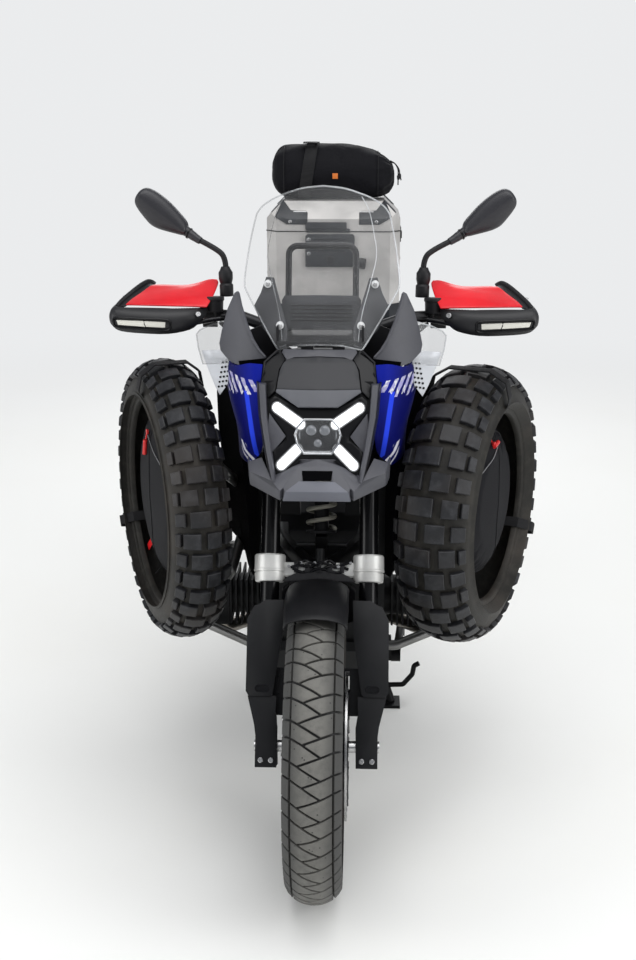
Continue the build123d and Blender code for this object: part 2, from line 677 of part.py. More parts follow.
def fork_place(x, rearward, along):
    """World (x, behind, height) of a place in the fork's frame."""
    behind = along * LEAN[1] + rearward * LEAN[2]
    height = FRONT_TYRE_RADIUS + along * LEAN[2] - rearward * LEAN[1]
    return (x, behind, height)


def handlebar():
    _, d, z = fork_place(0, BAR_REARWARD, BAR_ALONG)
    bar = [(-398, d + 88, z + 24), (-250, d + 42, z + 36), (-190, d + 20, z + 36), (-80, d, z),
           (80, d, z), (190, d + 20, z + 36), (250, d + 42, z + 36), (398, d + 88, z + 24)]
    return tube(bar, BAR_RADIUS, 26)


def handguard():
    """Open shell round the grip: a deep front face with a lamp strip and a top shelf."""
    shell = [(404, 1140), (396, 1162), (402, 1186), (432, 1200), (530, 1242), (540, 1236), (536, 1228),
             (440, 1190), (410, 1178), (405, 1160), (412, 1142)]
    side = from_side(shell, 240, 500)
    front = from_front([(268, 1176), (284, 1158), (306, 1146), (351, 1141), (456, 1149), (475, 1157),
                        (482, 1184), (472, 1202), (446, 1208), (424, 1250), (262, 1252)], 380, 560, 7)
    shield = side & front
    end = from_side([(402, 1152), (398, 1172), (430, 1196), (560, 1206), (564, 1170)], 402.6, 410)
    return joined([shield, end])


def guard_cover():
    shell = [(434, 1201.5), (530, 1242.8), (541, 1240), (543, 1243), (530, 1247), (432, 1205)]
    side = from_side(shell, 240, 500)
    front = from_front([(266, 1196), (449, 1196), (404, 1238), (360, 1234), (317, 1234), (274, 1252),
                        (258, 1252), (247, 1238), (247, 1230)], 380, 560, 4)
    return side & front


def mirror_side():
    _, d, z = fork_place(0, BAR_REARWARD, BAR_ALONG)
    stem = tube([(222, d + 32, z + 36 + BAR_RADIUS + FIT), (222, d + 32, z + 72), (224, 520, 1262),
                 (254, 524, 1336), (312, 538, 1356), (350, 548, 1372)], 7, 14)
    nut = Pos(224, at(520), 1262) * Sphere(15)
    head = from_front([(320, 1372), (323, 1383), (353, 1418), (394, 1449), (418, 1454), (438, 1436),
                       (440, 1424), (432, 1402), (408, 1371), (376, 1358), (336, 1350)], 532, 566, 5)
    return joined([stem, nut, head])


def mirror_glass():
    return from_front([(330, 1374), (333, 1382), (359, 1411), (396, 1440), (415, 1446), (430, 1432),
                       (432, 1423), (424, 1404), (403, 1379), (373, 1367), (338, 1360)], 566 + FIT, 568, 6)


def front_mudguard():
    """Arched shell over the front tyre with its two side stays."""
    start, stop = 50, 112
    wall = 4
    half = [(68, 320), (66, 338), (54, 350), (30, 356), (0, 357)]
    inner = [(x - wall * (x > 0), r - wall * (r > 320)) for x, r in half]
    ring = half + [(-x, r) for x, r in reversed(half[:-1])] + [(-x, r) for x, r in inner[:-1]] + inner[::-1]
    arch = revolve(outline([(x, r, 0) for x, r in ring]), axis=Axis.X, revolution_arc=stop - start)
    arch = Pos(0, AXLE_Y, FRONT_TYRE_RADIUS) * Rot(start, 0, 0) * arch
    near = FRONT_TYRE_WIDTH / 2 + MOVING_GAP + 0.5
    far = FORK_HALF - 32 - FIT
    stay = fork_plate([(near, -20), (far, -20), (far, 20), (near, 20)], 268, 338)
    return joined([arch, stay, other_side(stay)])


def brake_caliper():
    body = fork_plate([(46, 36), (100, 36), (100, 90), (46, 90)], 64, DISC_RADIUS + 12)
    lug = fork_plate([(FORK_HALF - 22, 28 + FIT), (FORK_HALF + 14, 28 + FIT), (FORK_HALF + 14, 50),
                      (FORK_HALF - 22, 50)], 112, 146)
    slot = DISC_THICK / 2 + MOVING_GAP / 2
    room = fork_plate([(DISC_X - slot, 0), (DISC_X + slot, 0), (DISC_X + slot, 120),
                       (DISC_X - slot, 120)], 0, DISC_RADIUS + MOVING_GAP)
    return joined([body, lug]) - room


def front_axle():
    reach = FORK_HALF + 26
    rod = cross_rod(0, FRONT_TYRE_RADIUS, -reach, reach, AXLE_RADIUS)
    return rod - cross_rod(0, FRONT_TYRE_RADIUS, -reach - 1, reach + 1, AXLE_BORE)


# Wheels
def disc(x, inner, outer, thick, behind, height):
    ring = [(x - thick / 2, inner), (x + thick / 2, inner), (x + thick / 2, outer),
            (x - thick / 2, outer)]
    return lathe(ring, behind, height)


def front_rim():
    seat = DISC_X - DISC_THICK / 2 - FIT
    rim = wheel_rim(FRONT_RIM_RADIUS, FRONT_RIM_HALF, 56, -seat, seat, AXLE_RADIUS + FIT, 10, 13)
    return Pos(0, AXLE_Y, FRONT_TYRE_RADIUS) * rim


def rear_rim():
    rim = wheel_rim(REAR_RIM_RADIUS, REAR_RIM_HALF, 62, -50, 84, HUB_BORE + 5 + FIT, 10, 15)
    return Pos(0, at(WHEELBASE), REAR_AXLE_HEIGHT) * rim


# Rear suspension and drive
def swingarm():
    """Single arm with its final drive, open to the right of the wheel."""
    pivot = cross_rod(PIVOT_BEHIND, PIVOT_HEIGHT, -122, 108, PIVOT_RADIUS)
    arm = from_side([(PIVOT_BEHIND, 370), (PIVOT_BEHIND, 426), (WHEELBASE - 318, 420), (WHEELBASE - 78, 400),
                     (WHEELBASE + 12, 360), (WHEELBASE - 68, 290), (WHEELBASE - 338, 330)],
                    DRIVE_INNER_X + 4, 146, 14)
    drive = cross_rod(WHEELBASE, REAR_AXLE_HEIGHT, DRIVE_INNER_X, DRIVE_OUTER_X, 84)
    spindle = cross_rod(WHEELBASE, REAR_AXLE_HEIGHT, -48, DRIVE_INNER_X + 1, HUB_BORE + 5)
    cross = box(-20, 118, 985, 1040, 378, 424)
    arm = joined([pivot, arm, drive, spindle, cross])
    return arm - cross_rod(WHEELBASE, REAR_AXLE_HEIGHT, -60, 180, HUB_BORE)


def rear_strut():
    eye = box(-14, 14, 994, 1030, 424 + FIT, 452)
    body = tube([(0, 1012, 440), (0, 930, 690)], 20)
    coil = tube([(0, 1000, 478), (0, 948, 636)], 34)
    return joined([eye, body, coil])


def rear_hugger():
    section = [(-88, 322), (-84, 344), (84, 344), (88, 322), (92, 322), (92, 348), (-92, 348),
               (-92, 322)]
    arch = revolve(outline([(x, r, 0) for x, r in section]), axis=Axis.X, revolution_arc=70)
    arch = Pos(0, at(WHEELBASE), REAR_AXLE_HEIGHT) * Rot(100, 0, 0) * arch
    stay = from_side([(WHEELBASE - 318, 421), (WHEELBASE - 268, 417), (WHEELBASE - 268, 470),
                      (WHEELBASE - 313, 470)], 90, 104)
    return joined([arch, stay])


# Seats and tail
def seat_rider():
    side = across([(786, 880), (830, 862), (920, 850), (1050, 852), (1116, 886), (1118, 818.8),
                   (1000, 803.2), (800, 806)], 170, 8)
    plan = from_top(symmetric([(66, 782), (128, 900), (150, 1040), (140, 1120)]), 780, 920, 18)
    return side & plan


def seat_pillion():
    side = across([(1124, 892), (1170, 915), (1380, 912), (1398, 898), (1392, 856), (1300, 842.8),
                   (1124, 819.2)], 150, 10)
    plan = from_top(symmetric([(134, 1120), (128, 1250), (104, 1396)]), 800, 940, 18)
    return side & plan


def rear_rack():
    """Grab rails at the pillion seat and the plate that carries the case."""
    plate = from_top(symmetric([(95, 1402), (112, 1430), (112, 1700), (80, 1740)]), RACK_LOW, RACK_HIGH, 12)
    slots = [box(-60, 60, 1490 + 64 * n, 1526 + 64 * n, 950, 970) for n in range(4)]
    rail = tube([(108, 1450, 954), (152, 1440, 952), (152, 1330, 935), (152, 1190, 905), (152, 1160, 811),
                 (121, 1160, 811)], 10, 14)
    x, d, z = RAIL_END
    leg = tube([(x, d + FIT, z + 0.04), (x, 1436, 848.5), (x, 1446, RACK_HIGH - 4)], 10, 12)
    for slot in slots:
        plate = plate - slot
    return joined([plate, rail, other_side(rail), leg, other_side(leg)])


def tail_unit():
    """Tail cover over the rear wheel with the number plate's arm."""
    under_rack = RACK_LOW - FIT
    cover = across([(1130, 816), (1300, 820), (1400, 842), (1560, 930), (1680, under_rack),
                    (1744, under_rack), (1744, 925), (1600, 890), (1440, 800), (1240, 770),
                    (1130, 780)], 86)
    arm = across([(1600, 900), (1660, 915), (TAIL_END - 87, 770), (TAIL_END - 12, 690), (TAIL_END - 20, 676),
                  (TAIL_END - 107, 740)], 30)
    plate = across([(TAIL_END - 34, 720), (TAIL_END - 26, 722), (TAIL_END, 590), (TAIL_END - 8, 588)], 92)
    return joined([cover, arm, plate])


def tail_lamp():
    return across([(1744 + FIT, 926), (1744 + FIT, 948), (1762, 944), (1762, 930)], 60)


# Luggage
def case_base():
    """Open tray of the top case."""
    high = CASE_SPLIT - FIT
    plan = symmetric([(CASE_HALF - 30, CASE_FRONT), (CASE_HALF, CASE_FRONT + 30),
                      (CASE_HALF, CASE_FRONT + CASE_DEPTH - 30),
                      (CASE_HALF - 30, CASE_FRONT + CASE_DEPTH)])
    wall = CASE_WALL
    inner = symmetric([(CASE_HALF - 30, CASE_FRONT + wall), (CASE_HALF - wall, CASE_FRONT + 30),
                       (CASE_HALF - wall, CASE_FRONT + CASE_DEPTH - 30),
                       (CASE_HALF - 30, CASE_FRONT + CASE_DEPTH - wall)])
    tray = from_top(plan, CASE_LOW, high) - from_top(inner, CASE_LOW + wall, high + 10)
    feet = [box(side * 70 - 15, side * 70 + 15, CASE_FRONT + 60, CASE_FRONT + 280, RACK_HIGH + FIT,
                CASE_LOW + 1) for side in (1, -1)]
    return joined([tray] + feet)


def lid_block(shrink):
    """Bevelled block of the lid, drawn in by a wall on every side."""
    half = CASE_HALF - shrink
    d0, d1 = CASE_FRONT + shrink, CASE_FRONT + CASE_DEPTH - shrink
    z0, z1 = CASE_SPLIT - (20 if shrink else 0), CASE_HIGH - shrink
    b = CASE_BEVEL
    plan = from_top(symmetric([(half - 30, d0), (half, d0 + 30), (half, d1 - 30), (half - 30, d1)]), z0, z1)
    side = across([(d0, z0), (d0, z1 - b), (d0 + b, z1), (d1 - b, z1), (d1, z1 - b), (d1, z0)], half)
    front = from_front(symmetric([(half, z0), (half, z1 - b), (half - b, z1)]), d0, d1)
    return plan & side & front


def case_lid():
    return lid_block(0) - lid_block(CASE_WALL)


def case_lock():
    """Latch plate on the case's front face."""
    return box(-74, 82, CASE_FRONT - 12, CASE_FRONT - FIT, 1085, CASE_SPLIT - 18)


def roll_bag():
    """Soft roll on the case's lid."""
    half = 187
    z = CASE_HIGH
    side = across([(CASE_FRONT + 62, z + FIT), (CASE_FRONT + 44, z + 40), (CASE_FRONT + 52, z + 130),
                   (CASE_FRONT + 110, z + 168), (CASE_FRONT + 210, z + 168), (CASE_FRONT + 262, z + 120),
                   (CASE_FRONT + 262, z + 30), (CASE_FRONT + 250, z + FIT)], half, 22)
    front = from_front([(-166, z), (-186, z + 60), (-176, z + 136), (-158, z + 158), (-40, z + 168),
                        (96, z + 158), (160, z + 128), (184, z + 84), (182, z + 26), (172, z)],
                       CASE_FRONT, CASE_FRONT + CASE_DEPTH, 10)
    return side & front


# Stands and pegs
def centre_stand():
    """Two legs with their feet, cross tubes and the foot tang on the left."""
    pivot = [cross_rod(STAND_PIVOT_BEHIND, STAND_PIVOT_HEIGHT, side * 104 - 14, side * 104 + 14, 17)
             for side in (1, -1)]
    legs = []
    for side in (1, -1):
        leg = tube([(side * 104, STAND_PIVOT_BEHIND, STAND_PIVOT_HEIGHT),
                    (side * 122, STAND_PIVOT_BEHIND - 14, 170),
                    (side * STAND_FOOT_HALF, STAND_FOOT_BEHIND, 8)], 13, 60)
        foot = box(side * STAND_FOOT_HALF - 26, side * STAND_FOOT_HALF + 26, STAND_FOOT_BEHIND - 32,
                   STAND_FOOT_BEHIND + 32, 0, 9)
        legs.extend([leg, foot])
    cross = tube([(-124, STAND_PIVOT_BEHIND - 16, 160), (124, STAND_PIVOT_BEHIND - 16, 160)], 10)
    d = STAND_FOOT_BEHIND
    tang = tube([(160, d + 12, 52), (214, d, 60), (240, d, 92), (244, d, 118), (258, d, 126)], 7, 10)
    stand = joined(pivot + legs + [cross, tang])
    return stand - cross_rod(STAND_PIVOT_BEHIND, STAND_PIVOT_HEIGHT, -130, 130, 8 + FIT)


def stand_bracket():
    """Lugs under the gearbox with the centre stand's pivot pins, and the side stand's block."""
    lugs = []
    for side in (1, -1):
        lug = from_side([(880, 234), (918, 234), (918, 268), (900, 314.4), (862, 314.4), (862, 286)],
                        side * 82 - 5, side * 82 + 5)
        pin = cross_rod(STAND_PIVOT_BEHIND, STAND_PIVOT_HEIGHT, min(side * 80, side * 120),
                        max(side * 80, side * 120), 8)
        lugs.extend([lug, pin])
    beam = box(-87, 87, 862, 884, 288, 314.4)
    block = box(CRANK_HALF + FIT, 172, SIDE_STAND_BEHIND - 26, SIDE_STAND_BEHIND + 26,
                SIDE_STAND_HEIGHT - 6, SIDE_STAND_HEIGHT + 44)
    return [joined(lugs + [beam]), block]


def side_stand():
    """Leg folded back along the left side."""
    leg = tube([(184, SIDE_STAND_BEHIND, SIDE_STAND_HEIGHT), (196, SIDE_STAND_BEHIND + 120, 262),
                (204, SIDE_STAND_BEHIND + 222, 258)], 11, 60)
    hub = cross_rod(SIDE_STAND_BEHIND, SIDE_STAND_HEIGHT, 172 + FIT, 196, 18)
    foot = box(194, 214, SIDE_STAND_BEHIND + 200, SIDE_STAND_BEHIND + 232, 232, 284)
    return joined([leg, hub, foot])


def footpeg_side():
    peg = box(CRANK_HALF + 10, 262, 806, 846, 352, 366)
    plate = from_side([(725, 352), (725, 430), (765, 430), (850, 380), (850, 342), (780, 340)],
                      CRANK_HALF + FIT, CRANK_HALF + 12)
    return joined([peg, plate])


NODES = {
    "main_frame": [main_frame()],
    "engine_case": [engine_case()],
    "cylinders": both(cylinder_side()),
    "head_covers": both(head_cover_side()),
    "exhaust": [exhaust()],
    "skid_plate": [skid_plate()],
    "fuel_tank": [fuel_tank()],
    "side_panels": both(side_panel()),
    "front_cowl": [front_cowl()],
    "headlamp": [headlamp()],
    "hood_panel": [hood_panel()],
    "windscreen": [windscreen()],
    "screen_brackets": screen_brackets(),
    "wind_deflectors": both(wind_deflector()),
    "winglets": both(winglet()),
    "instrument_panel": [instrument_panel()],
    "nav_bar": [nav_bar()],
    "radiators": both(radiator_side()),
    "telelever_arm": [telelever_arm()],
    "front_strut": [front_strut()],
    "fork_tubes": fork_tubes(),
    "fork_sliders": both(fork_slider()),
    "fork_bridge": [fork_bridge()],
    "top_yoke": [top_yoke()],
    "handlebar": [handlebar()],
    "handguards": both(handguard()),
    "guard_covers": both(guard_cover()),
    "mirrors": both(mirror_side()),
    "mirror_glasses": both(mirror_glass()),
    "front_mudguard": [front_mudguard()],
    "brake_calipers": both(brake_caliper()),
    "front_axle": [front_axle()],
    "front_tyre": [lathe(tyre_section(FRONT_TYRE_RADIUS, FRONT_TYRE_WIDTH, FRONT_RIM_RADIUS,
                                      FRONT_RIM_HALF), 0, FRONT_TYRE_RADIUS)],
    "front_rim": [front_rim()],
    "front_discs": both(disc(DISC_X, 40, DISC_RADIUS, DISC_THICK, 0, FRONT_TYRE_RADIUS)),
    "rear_tyre": [lathe(tyre_section(REAR_TYRE_RADIUS, REAR_TYRE_WIDTH, REAR_RIM_RADIUS,
                                     REAR_RIM_HALF), WHEELBASE, REAR_AXLE_HEIGHT)],
    "rear_rim": [rear_rim()],
    "swingarm": [swingarm()],
    "rear_strut": [rear_strut()],
    "rear_hugger": [rear_hugger()],
    "seat_rider": [seat_rider()],
    "seat_pillion": [seat_pillion()],
    "rear_rack": [rear_rack()],
    "tail_unit": [tail_unit()],
    "tail_lamp": [tail_lamp()],
    "case_base": [case_base()],
    "case_lid": [case_lid()],
    "case_lock": [case_lock()],
    "roll_bag": [roll_bag()],
    "crash_bars_left": [crash_bars(SPARE_LEFT)],
    "crash_bars_right": [other_side(crash_bars(SPARE_RIGHT))],
    "spare_tyre_left": [spare_tyre(SPARE_LEFT)],
    "spare_tyre_right": [other_side(spare_tyre(SPARE_RIGHT))],
    "tyre_bag_left": [tyre_bag(SPARE_LEFT)],
    "tyre_bag_right": [other_side(tyre_bag(SPARE_RIGHT))],
    "centre_stand": [centre_stand()],
    "stand_bracket": stand_bracket(),
    "side_stand": [side_stand()],
    "footpegs": both(footpeg_side()),
}

os.makedirs("parts", exist_ok=True)
for name, shapes in NODES.items():
    save(name, *shapes)
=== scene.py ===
"""Looks of an adventure motorcycle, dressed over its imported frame.

Lengths are metres in the frame's own axes: +X is the rider's left, +Y points to the tail
and +Z is up.
"""
import json
import logging
from collections.abc import Callable, Iterable, Sequence
from dataclasses import dataclass, field
from enum import Enum
from math import atan2, cos, hypot, pi, radians, sin, sqrt

import bmesh
import bpy
from mathutils import Matrix, Vector
from mathutils.bvhtree import BVHTree

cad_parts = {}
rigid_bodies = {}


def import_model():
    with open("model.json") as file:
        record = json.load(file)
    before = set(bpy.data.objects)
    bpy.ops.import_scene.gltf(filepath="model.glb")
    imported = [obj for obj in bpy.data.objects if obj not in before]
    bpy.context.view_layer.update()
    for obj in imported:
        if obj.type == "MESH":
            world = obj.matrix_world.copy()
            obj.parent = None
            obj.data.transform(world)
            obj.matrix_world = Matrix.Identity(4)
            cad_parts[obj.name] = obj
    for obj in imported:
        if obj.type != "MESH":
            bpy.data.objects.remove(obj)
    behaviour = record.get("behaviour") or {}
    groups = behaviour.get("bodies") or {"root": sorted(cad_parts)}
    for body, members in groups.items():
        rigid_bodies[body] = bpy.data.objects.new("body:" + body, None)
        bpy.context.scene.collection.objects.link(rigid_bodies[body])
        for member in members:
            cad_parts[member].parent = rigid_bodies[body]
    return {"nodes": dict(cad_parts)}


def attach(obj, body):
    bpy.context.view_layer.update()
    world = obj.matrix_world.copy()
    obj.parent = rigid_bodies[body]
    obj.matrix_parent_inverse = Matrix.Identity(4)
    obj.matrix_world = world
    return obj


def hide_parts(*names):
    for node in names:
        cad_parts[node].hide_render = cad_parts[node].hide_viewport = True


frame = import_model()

LOG = logging.getLogger("motorcycle")
Colour = tuple[float, float, float]
Point = tuple[float, float, float]
FRONT_AXLE = Vector((0.0, -0.781, 0.325))
REAR_AXLE = Vector((0.0, 0.737, 0.338))
MATERIALS: dict[str, bpy.types.Material] = {}


def behind(distance: float) -> float:
    """The frame's Y of a place that lies this far behind the front axle."""
    return FRONT_AXLE.y + distance


class Wire:
    """A node's output that takes Python arithmetic."""

    def __init__(self, tree: "NodeTree", socket: bpy.types.NodeSocket) -> None:
        """Keep the socket and the tree it belongs to."""
        self.tree = tree
        self.socket = socket

    def maths(self, operation: str, *values: "Wire | float") -> "Wire":
        """Add one Math node.

        Args:
            operation: The Math node's operation.
            *values: Its inputs, in order.

        Returns:
            The node's output.
        """
        return self.tree.node("ShaderNodeMath", {"operation": operation}, dict(enumerate(values)))

    def __add__(self, other: "Wire | float") -> "Wire":
        """Sum of two values."""
        return self.maths("ADD", self, other)

    def __radd__(self, other: float) -> "Wire":
        """Sum with a number in front."""
        return self.maths("ADD", other, self)

    def __sub__(self, other: "Wire | float") -> "Wire":
        """Difference of two values."""
        return self.maths("SUBTRACT", self, other)

    def __rsub__(self, other: float) -> "Wire":
        """A number less this value."""
        return self.maths("SUBTRACT", other, self)

    def __mul__(self, other: "Wire | float") -> "Wire":
        """Product of two values."""
        return self.maths("MULTIPLY", self, other)

    def __rmul__(self, other: float) -> "Wire":
        """Product with a number in front."""
        return self.maths("MULTIPLY", other, self)

    def __truediv__(self, other: "Wire | float") -> "Wire":
        """Quotient of two values."""
        return self.maths("DIVIDE", self, other)

    def __pow__(self, other: "Wire | float") -> "Wire":
        """This value to a power."""
        return self.maths("POWER", self, other)

    def above(self, limit: "Wire | float") -> "Wire":
        """1 where this value is over the limit, else 0."""
        return self.maths("GREATER_THAN", self, limit)

    def below(self, limit: "Wire | float") -> "Wire":
        """1 where this value is under the limit, else 0."""
        return self.maths("LESS_THAN", self, limit)

    def size(self) -> "Wire":
        """The value without its sign."""
        return self.maths("ABSOLUTE", self)

    def ramp(self, low: float, high: float, bottom: float = 0.0, top: float = 1.0) -> "Wire":
        """Rise smoothly from bottom to top between two values.

        Args:
            low: Where the rise starts.
            high: Where it ends.
            bottom: Result below low.
            top: Result above high.

        Returns:
            The mapped value.
        """
        values = {0: self, 1: low, 2: high, 3: bottom, 4: top}
        return self.tree.node("ShaderNodeMapRange", {"interpolation_type": "SMOOTHSTEP"}, values)


class NodeTree:
    """A node tree that is written in calls."""

    def __init__(self, tree: bpy.types.NodeTree) -> None:
        """Start from an empty tree."""
        self.tree = tree
        tree.nodes.clear()

    def node(
        self,
        kind: str,
        settings: dict[str, object] | None = None,
        values: "dict[str | int, object] | None" = None,
        output: str | int = 0,
    ) -> Wire:
        """Add any node.

        Args:
            kind: Node type.
            settings: Properties that are set first; "stops" fills a colour ramp.
            values: Numbers, vectors or wires by the socket's name or place.
            output: The output wanted.

        Returns:
            That output as a wire.
        """
        node = self.tree.nodes.new(kind)
        for key, setting in (settings or {}).items():
            if key == "stops":
                while len(node.color_ramp.elements) < len(setting):
                    node.color_ramp.elements.new(0.5)
                for element, (place, colour) in zip(node.color_ramp.elements, setting):
                    element.position = place
                    element.color = (*colour, 1.0)
            else:
                setattr(node, key, setting)
        for key, value in (values or {}).items():
            self.feed(node.inputs[key], value)
        return Wire(self, node.outputs[output]) if len(node.outputs) else Wire(self, None)

    def feed(self, socket: bpy.types.NodeSocket, value: object) -> None:
        """Link a wire to a socket or set its value."""
        if isinstance(value, Wire):
            self.tree.links.new(value.socket, socket)
        elif isinstance(value, tuple) and len(value) == 3 and socket.type == "RGBA":
            socket.default_value = (*value, 1.0)
        else:
            socket.default_value = value


class Shade(NodeTree):
    """One material's shader: the principled surface and what varies over it."""

    def __init__(self, name: str) -> None:
        """Make the material with its surface and output."""
        self.material = bpy.data.materials.new(name)
        self.material.use_nodes = True
        super().__init__(self.material.node_tree)
        self.surface = self.tree.nodes.new("ShaderNodeBsdfPrincipled")
        self.output = self.tree.nodes.new("ShaderNodeOutputMaterial")
        self.tree.links.new(self.surface.outputs[0], self.output.inputs["Surface"])
        self.place = self.node("ShaderNodeTexCoord", output="Object")

    def set(self, **values: object) -> None:
        """Set the surface's sockets; an underscore in a key stands for a space."""
        for key, value in values.items():
            self.feed(self.surface.inputs[key.replace("_", " ")], value)

    def axis(self, name: str) -> Wire:
        """One coordinate of the place, X, Y or Z."""
        return self.node("ShaderNodeSeparateXYZ", values={0: self.place}, output=name)

    def noise(self, scale: float, detail: float = 3.0, rough: float = 0.5, place: Wire | None = None) -> Wire:
        """Noise from 0 to 1 over the place.

        Args:
            scale: Features for each metre.
            detail: Octaves.
            rough: Share of the fine octaves.
            place: Coordinates, the object's own unless given.

        Returns:
            The noise value.
        """
        values = {"Vector": place or self.place, "Scale": scale, "Detail": detail, "Roughness": rough}
        return self.node("ShaderNodeTexNoise", values=values)

    def cells(self, scale: float, feature: str = "F1") -> Wire:
        """Distance to the nearest cell point, for pebbled grain."""
        values = {"Vector": self.place, "Scale": scale}
        return self.node("ShaderNodeTexVoronoi", {"feature": feature}, values, "Distance")

    def mix(self, factor: "Wire | float", first: "Wire | Colour", second: "Wire | Colour") -> Wire:
        """Blend two colours by a factor."""
        values = {0: factor, 6: first, 7: second}
        return self.node("ShaderNodeMix", {"data_type": "RGBA"}, values, 2)

    def bump(self, height: Wire, distance: float, strength: float = 1.0) -> None:
        """Give the surface a relief of this depth in metres."""
        values = {"Height": height, "Distance": distance, "Strength": strength}
        self.set(Normal=self.node("ShaderNodeBump", values=values))


@dataclass(frozen=True)
class Finish:
    """A plain surface; each kind of surface adds its own detail.

    Its numbers are the principled surface's own, from 0 to 1. Colours are linear.
    """

    name: str
    colour: Colour
    roughness: float = 0.5
    metallic: float = 0.0
    coat: float = 0.0
    shine: float = 0.5

    def material(self) -> bpy.types.Material:
        """The material of this finish, made once."""
        if self.name in MATERIALS:
            return MATERIALS[self.name]
        shade = Shade(self.name)
        MATERIALS[self.name] = shade.material
        shade.set(Base_Color=self.colour, Roughness=self.roughness, Metallic=self.metallic,
            Coat_Weight=self.coat)
        shade.set(Specular_IOR_Level=self.shine)
        self.detail(shade)
        shade.material.diffuse_color = (*self.colour, 1.0)
        return shade.material

    def detail(self, shade: Shade) -> None:
        """Add a faint unevenness of colour and gloss."""
        cloud = shade.noise(9.0, 4.0)
        shade.set(
            Base_Color=shade.mix(cloud, tuple(0.86 * part for part in self.colour), self.colour),
            Roughness=self.roughness + (cloud - 0.5) * 0.12,
        )


@dataclass(frozen=True)
class Grained(Finish):
    """Moulded plastic or vinyl with a pebbled grain."""

    grain: float = 1400.0
    depth: float = 0.00012
    dust: float = 0.0
    shine: float = 0.28

    def detail(self, shade: Shade) -> None:
        """Fine pebbles, cloudy gloss and a little dust on what faces up."""
        cloud = shade.noise(7.0, 5.0, 0.6)
        pale = tuple(part + 0.05 for part in self.colour)
        colour = shade.mix(cloud.ramp(0.35, 0.75), self.colour,
            tuple(part * 1.25 + 0.003 for part in self.colour))
        if self.dust:
            up = shade.node("ShaderNodeNewGeometry", output="Normal")
            up = shade.node("ShaderNodeSeparateXYZ", values={0: up}, output="Z")
            settled = up.ramp(0.2, 1.0) * shade.noise(60.0, 6.0, 0.7).ramp(0.45, 0.8) * self.dust
            colour = shade.mix(settled, colour, pale)
        shade.set(Base_Color=colour, Roughness=self.roughness + (cloud - 0.5) * 0.16)
        shade.bump(shade.cells(self.grain), self.depth, 0.55)


@dataclass(frozen=True)
class Rubber(Finish):
    """Tyre rubber with fine pits, scuffs and brown dust in the low places."""

    dust: float = 0.35

    def detail(self, shade: Shade) -> None:
        """Greyed patches, warm dust and a slightly pitted skin."""
        scuff = shade.noise(38.0, 8.0, 0.65)
        patch = shade.noise(6.0, 3.0)
        grey = shade.mix(scuff.ramp(0.42, 0.72), self.colour,
            tuple(part * 2.1 + 0.006 for part in self.colour))
        warm = shade.mix(patch.ramp(0.45, 0.7) * self.dust, grey, (0.062, 0.05, 0.04))
        shade.set(Base_Color=warm, Roughness=self.roughness + (scuff - 0.5) * 0.3, Specular_IOR_Level=0.32)
        shade.bump(shade.noise(900.0, 4.0, 0.7) + scuff * 2.0, 0.00035, 0.6)


@dataclass(frozen=True)
class RoadRubber(Rubber):
    """Tread rubber that is paler along the middle and darker at the shoulders, with small dark wear holes."""

    # Colour of the paler middle of the tread.
    worn: Colour = (0.15, 0.147, 0.135)

    def detail(self, shade: Shade) -> None:
        """Paler along the middle, darker shoulders and a scatter of pin holes."""
        super().detail(shade)
        scuff = shade.noise(60.0, 7.0, 0.7)
        middle = 1.0 - shade.axis("X").size().ramp(0.012, 0.05)
        pale = shade.mix(middle * scuff.ramp(0.2, 0.62, 0.45, 1.0), tuple(part * 1.7 for part in self.colour),
            self.worn)
        holes = shade.cells(62.0).below(0.1)
        shade.set(Base_Color=shade.mix(holes * 0.85, pale, (0.012, 0.012, 0.012)))


@dataclass(frozen=True)
class Paint(Finish):
    """Clear-coated paint with fine metal flakes."""

    flake: Colour = (0.02, 0.08, 0.7)

    @staticmethod
    def sparkle(shade: Shade) -> Wire:
        """Fine cells, 0 in the middle of each flake."""
        return shade.cells(2600.0).ramp(0.0, 0.5)

    def flaked(self, shade: Shade) -> Wire:
        """The paint's colour with its flakes."""
        return shade.mix(self.sparkle(shade), self.flake, self.colour)

    def detail(self, shade: Shade) -> None:
        """Sparkling flakes under the coat."""
        sparkle = self.sparkle(shade)
        shade.set(
            Base_Color=self.flaked(shade),
            Roughness=self.roughness + sparkle * 0.12,
            Coat_Weight=self.coat,
            Coat_Roughness=0.03,
        )
        shade.bump(shade.noise(24.0, 2.0), 0.0004, 0.05)


@dataclass(frozen=True)
class TankPaint(Paint):
    """The tank's blue sides with a black moulding along the middle."""

    moulding: float = 0.098

    def detail(self, shade: Shade) -> None:
        """Flakes, and black between two lines along the tank."""
        super().detail(shade)
        beside = shade.axis("X").size().above(self.moulding)
        shade.set(Base_Color=shade.mix(beside, (0.006, 0.006, 0.007), self.flaked(shade)))


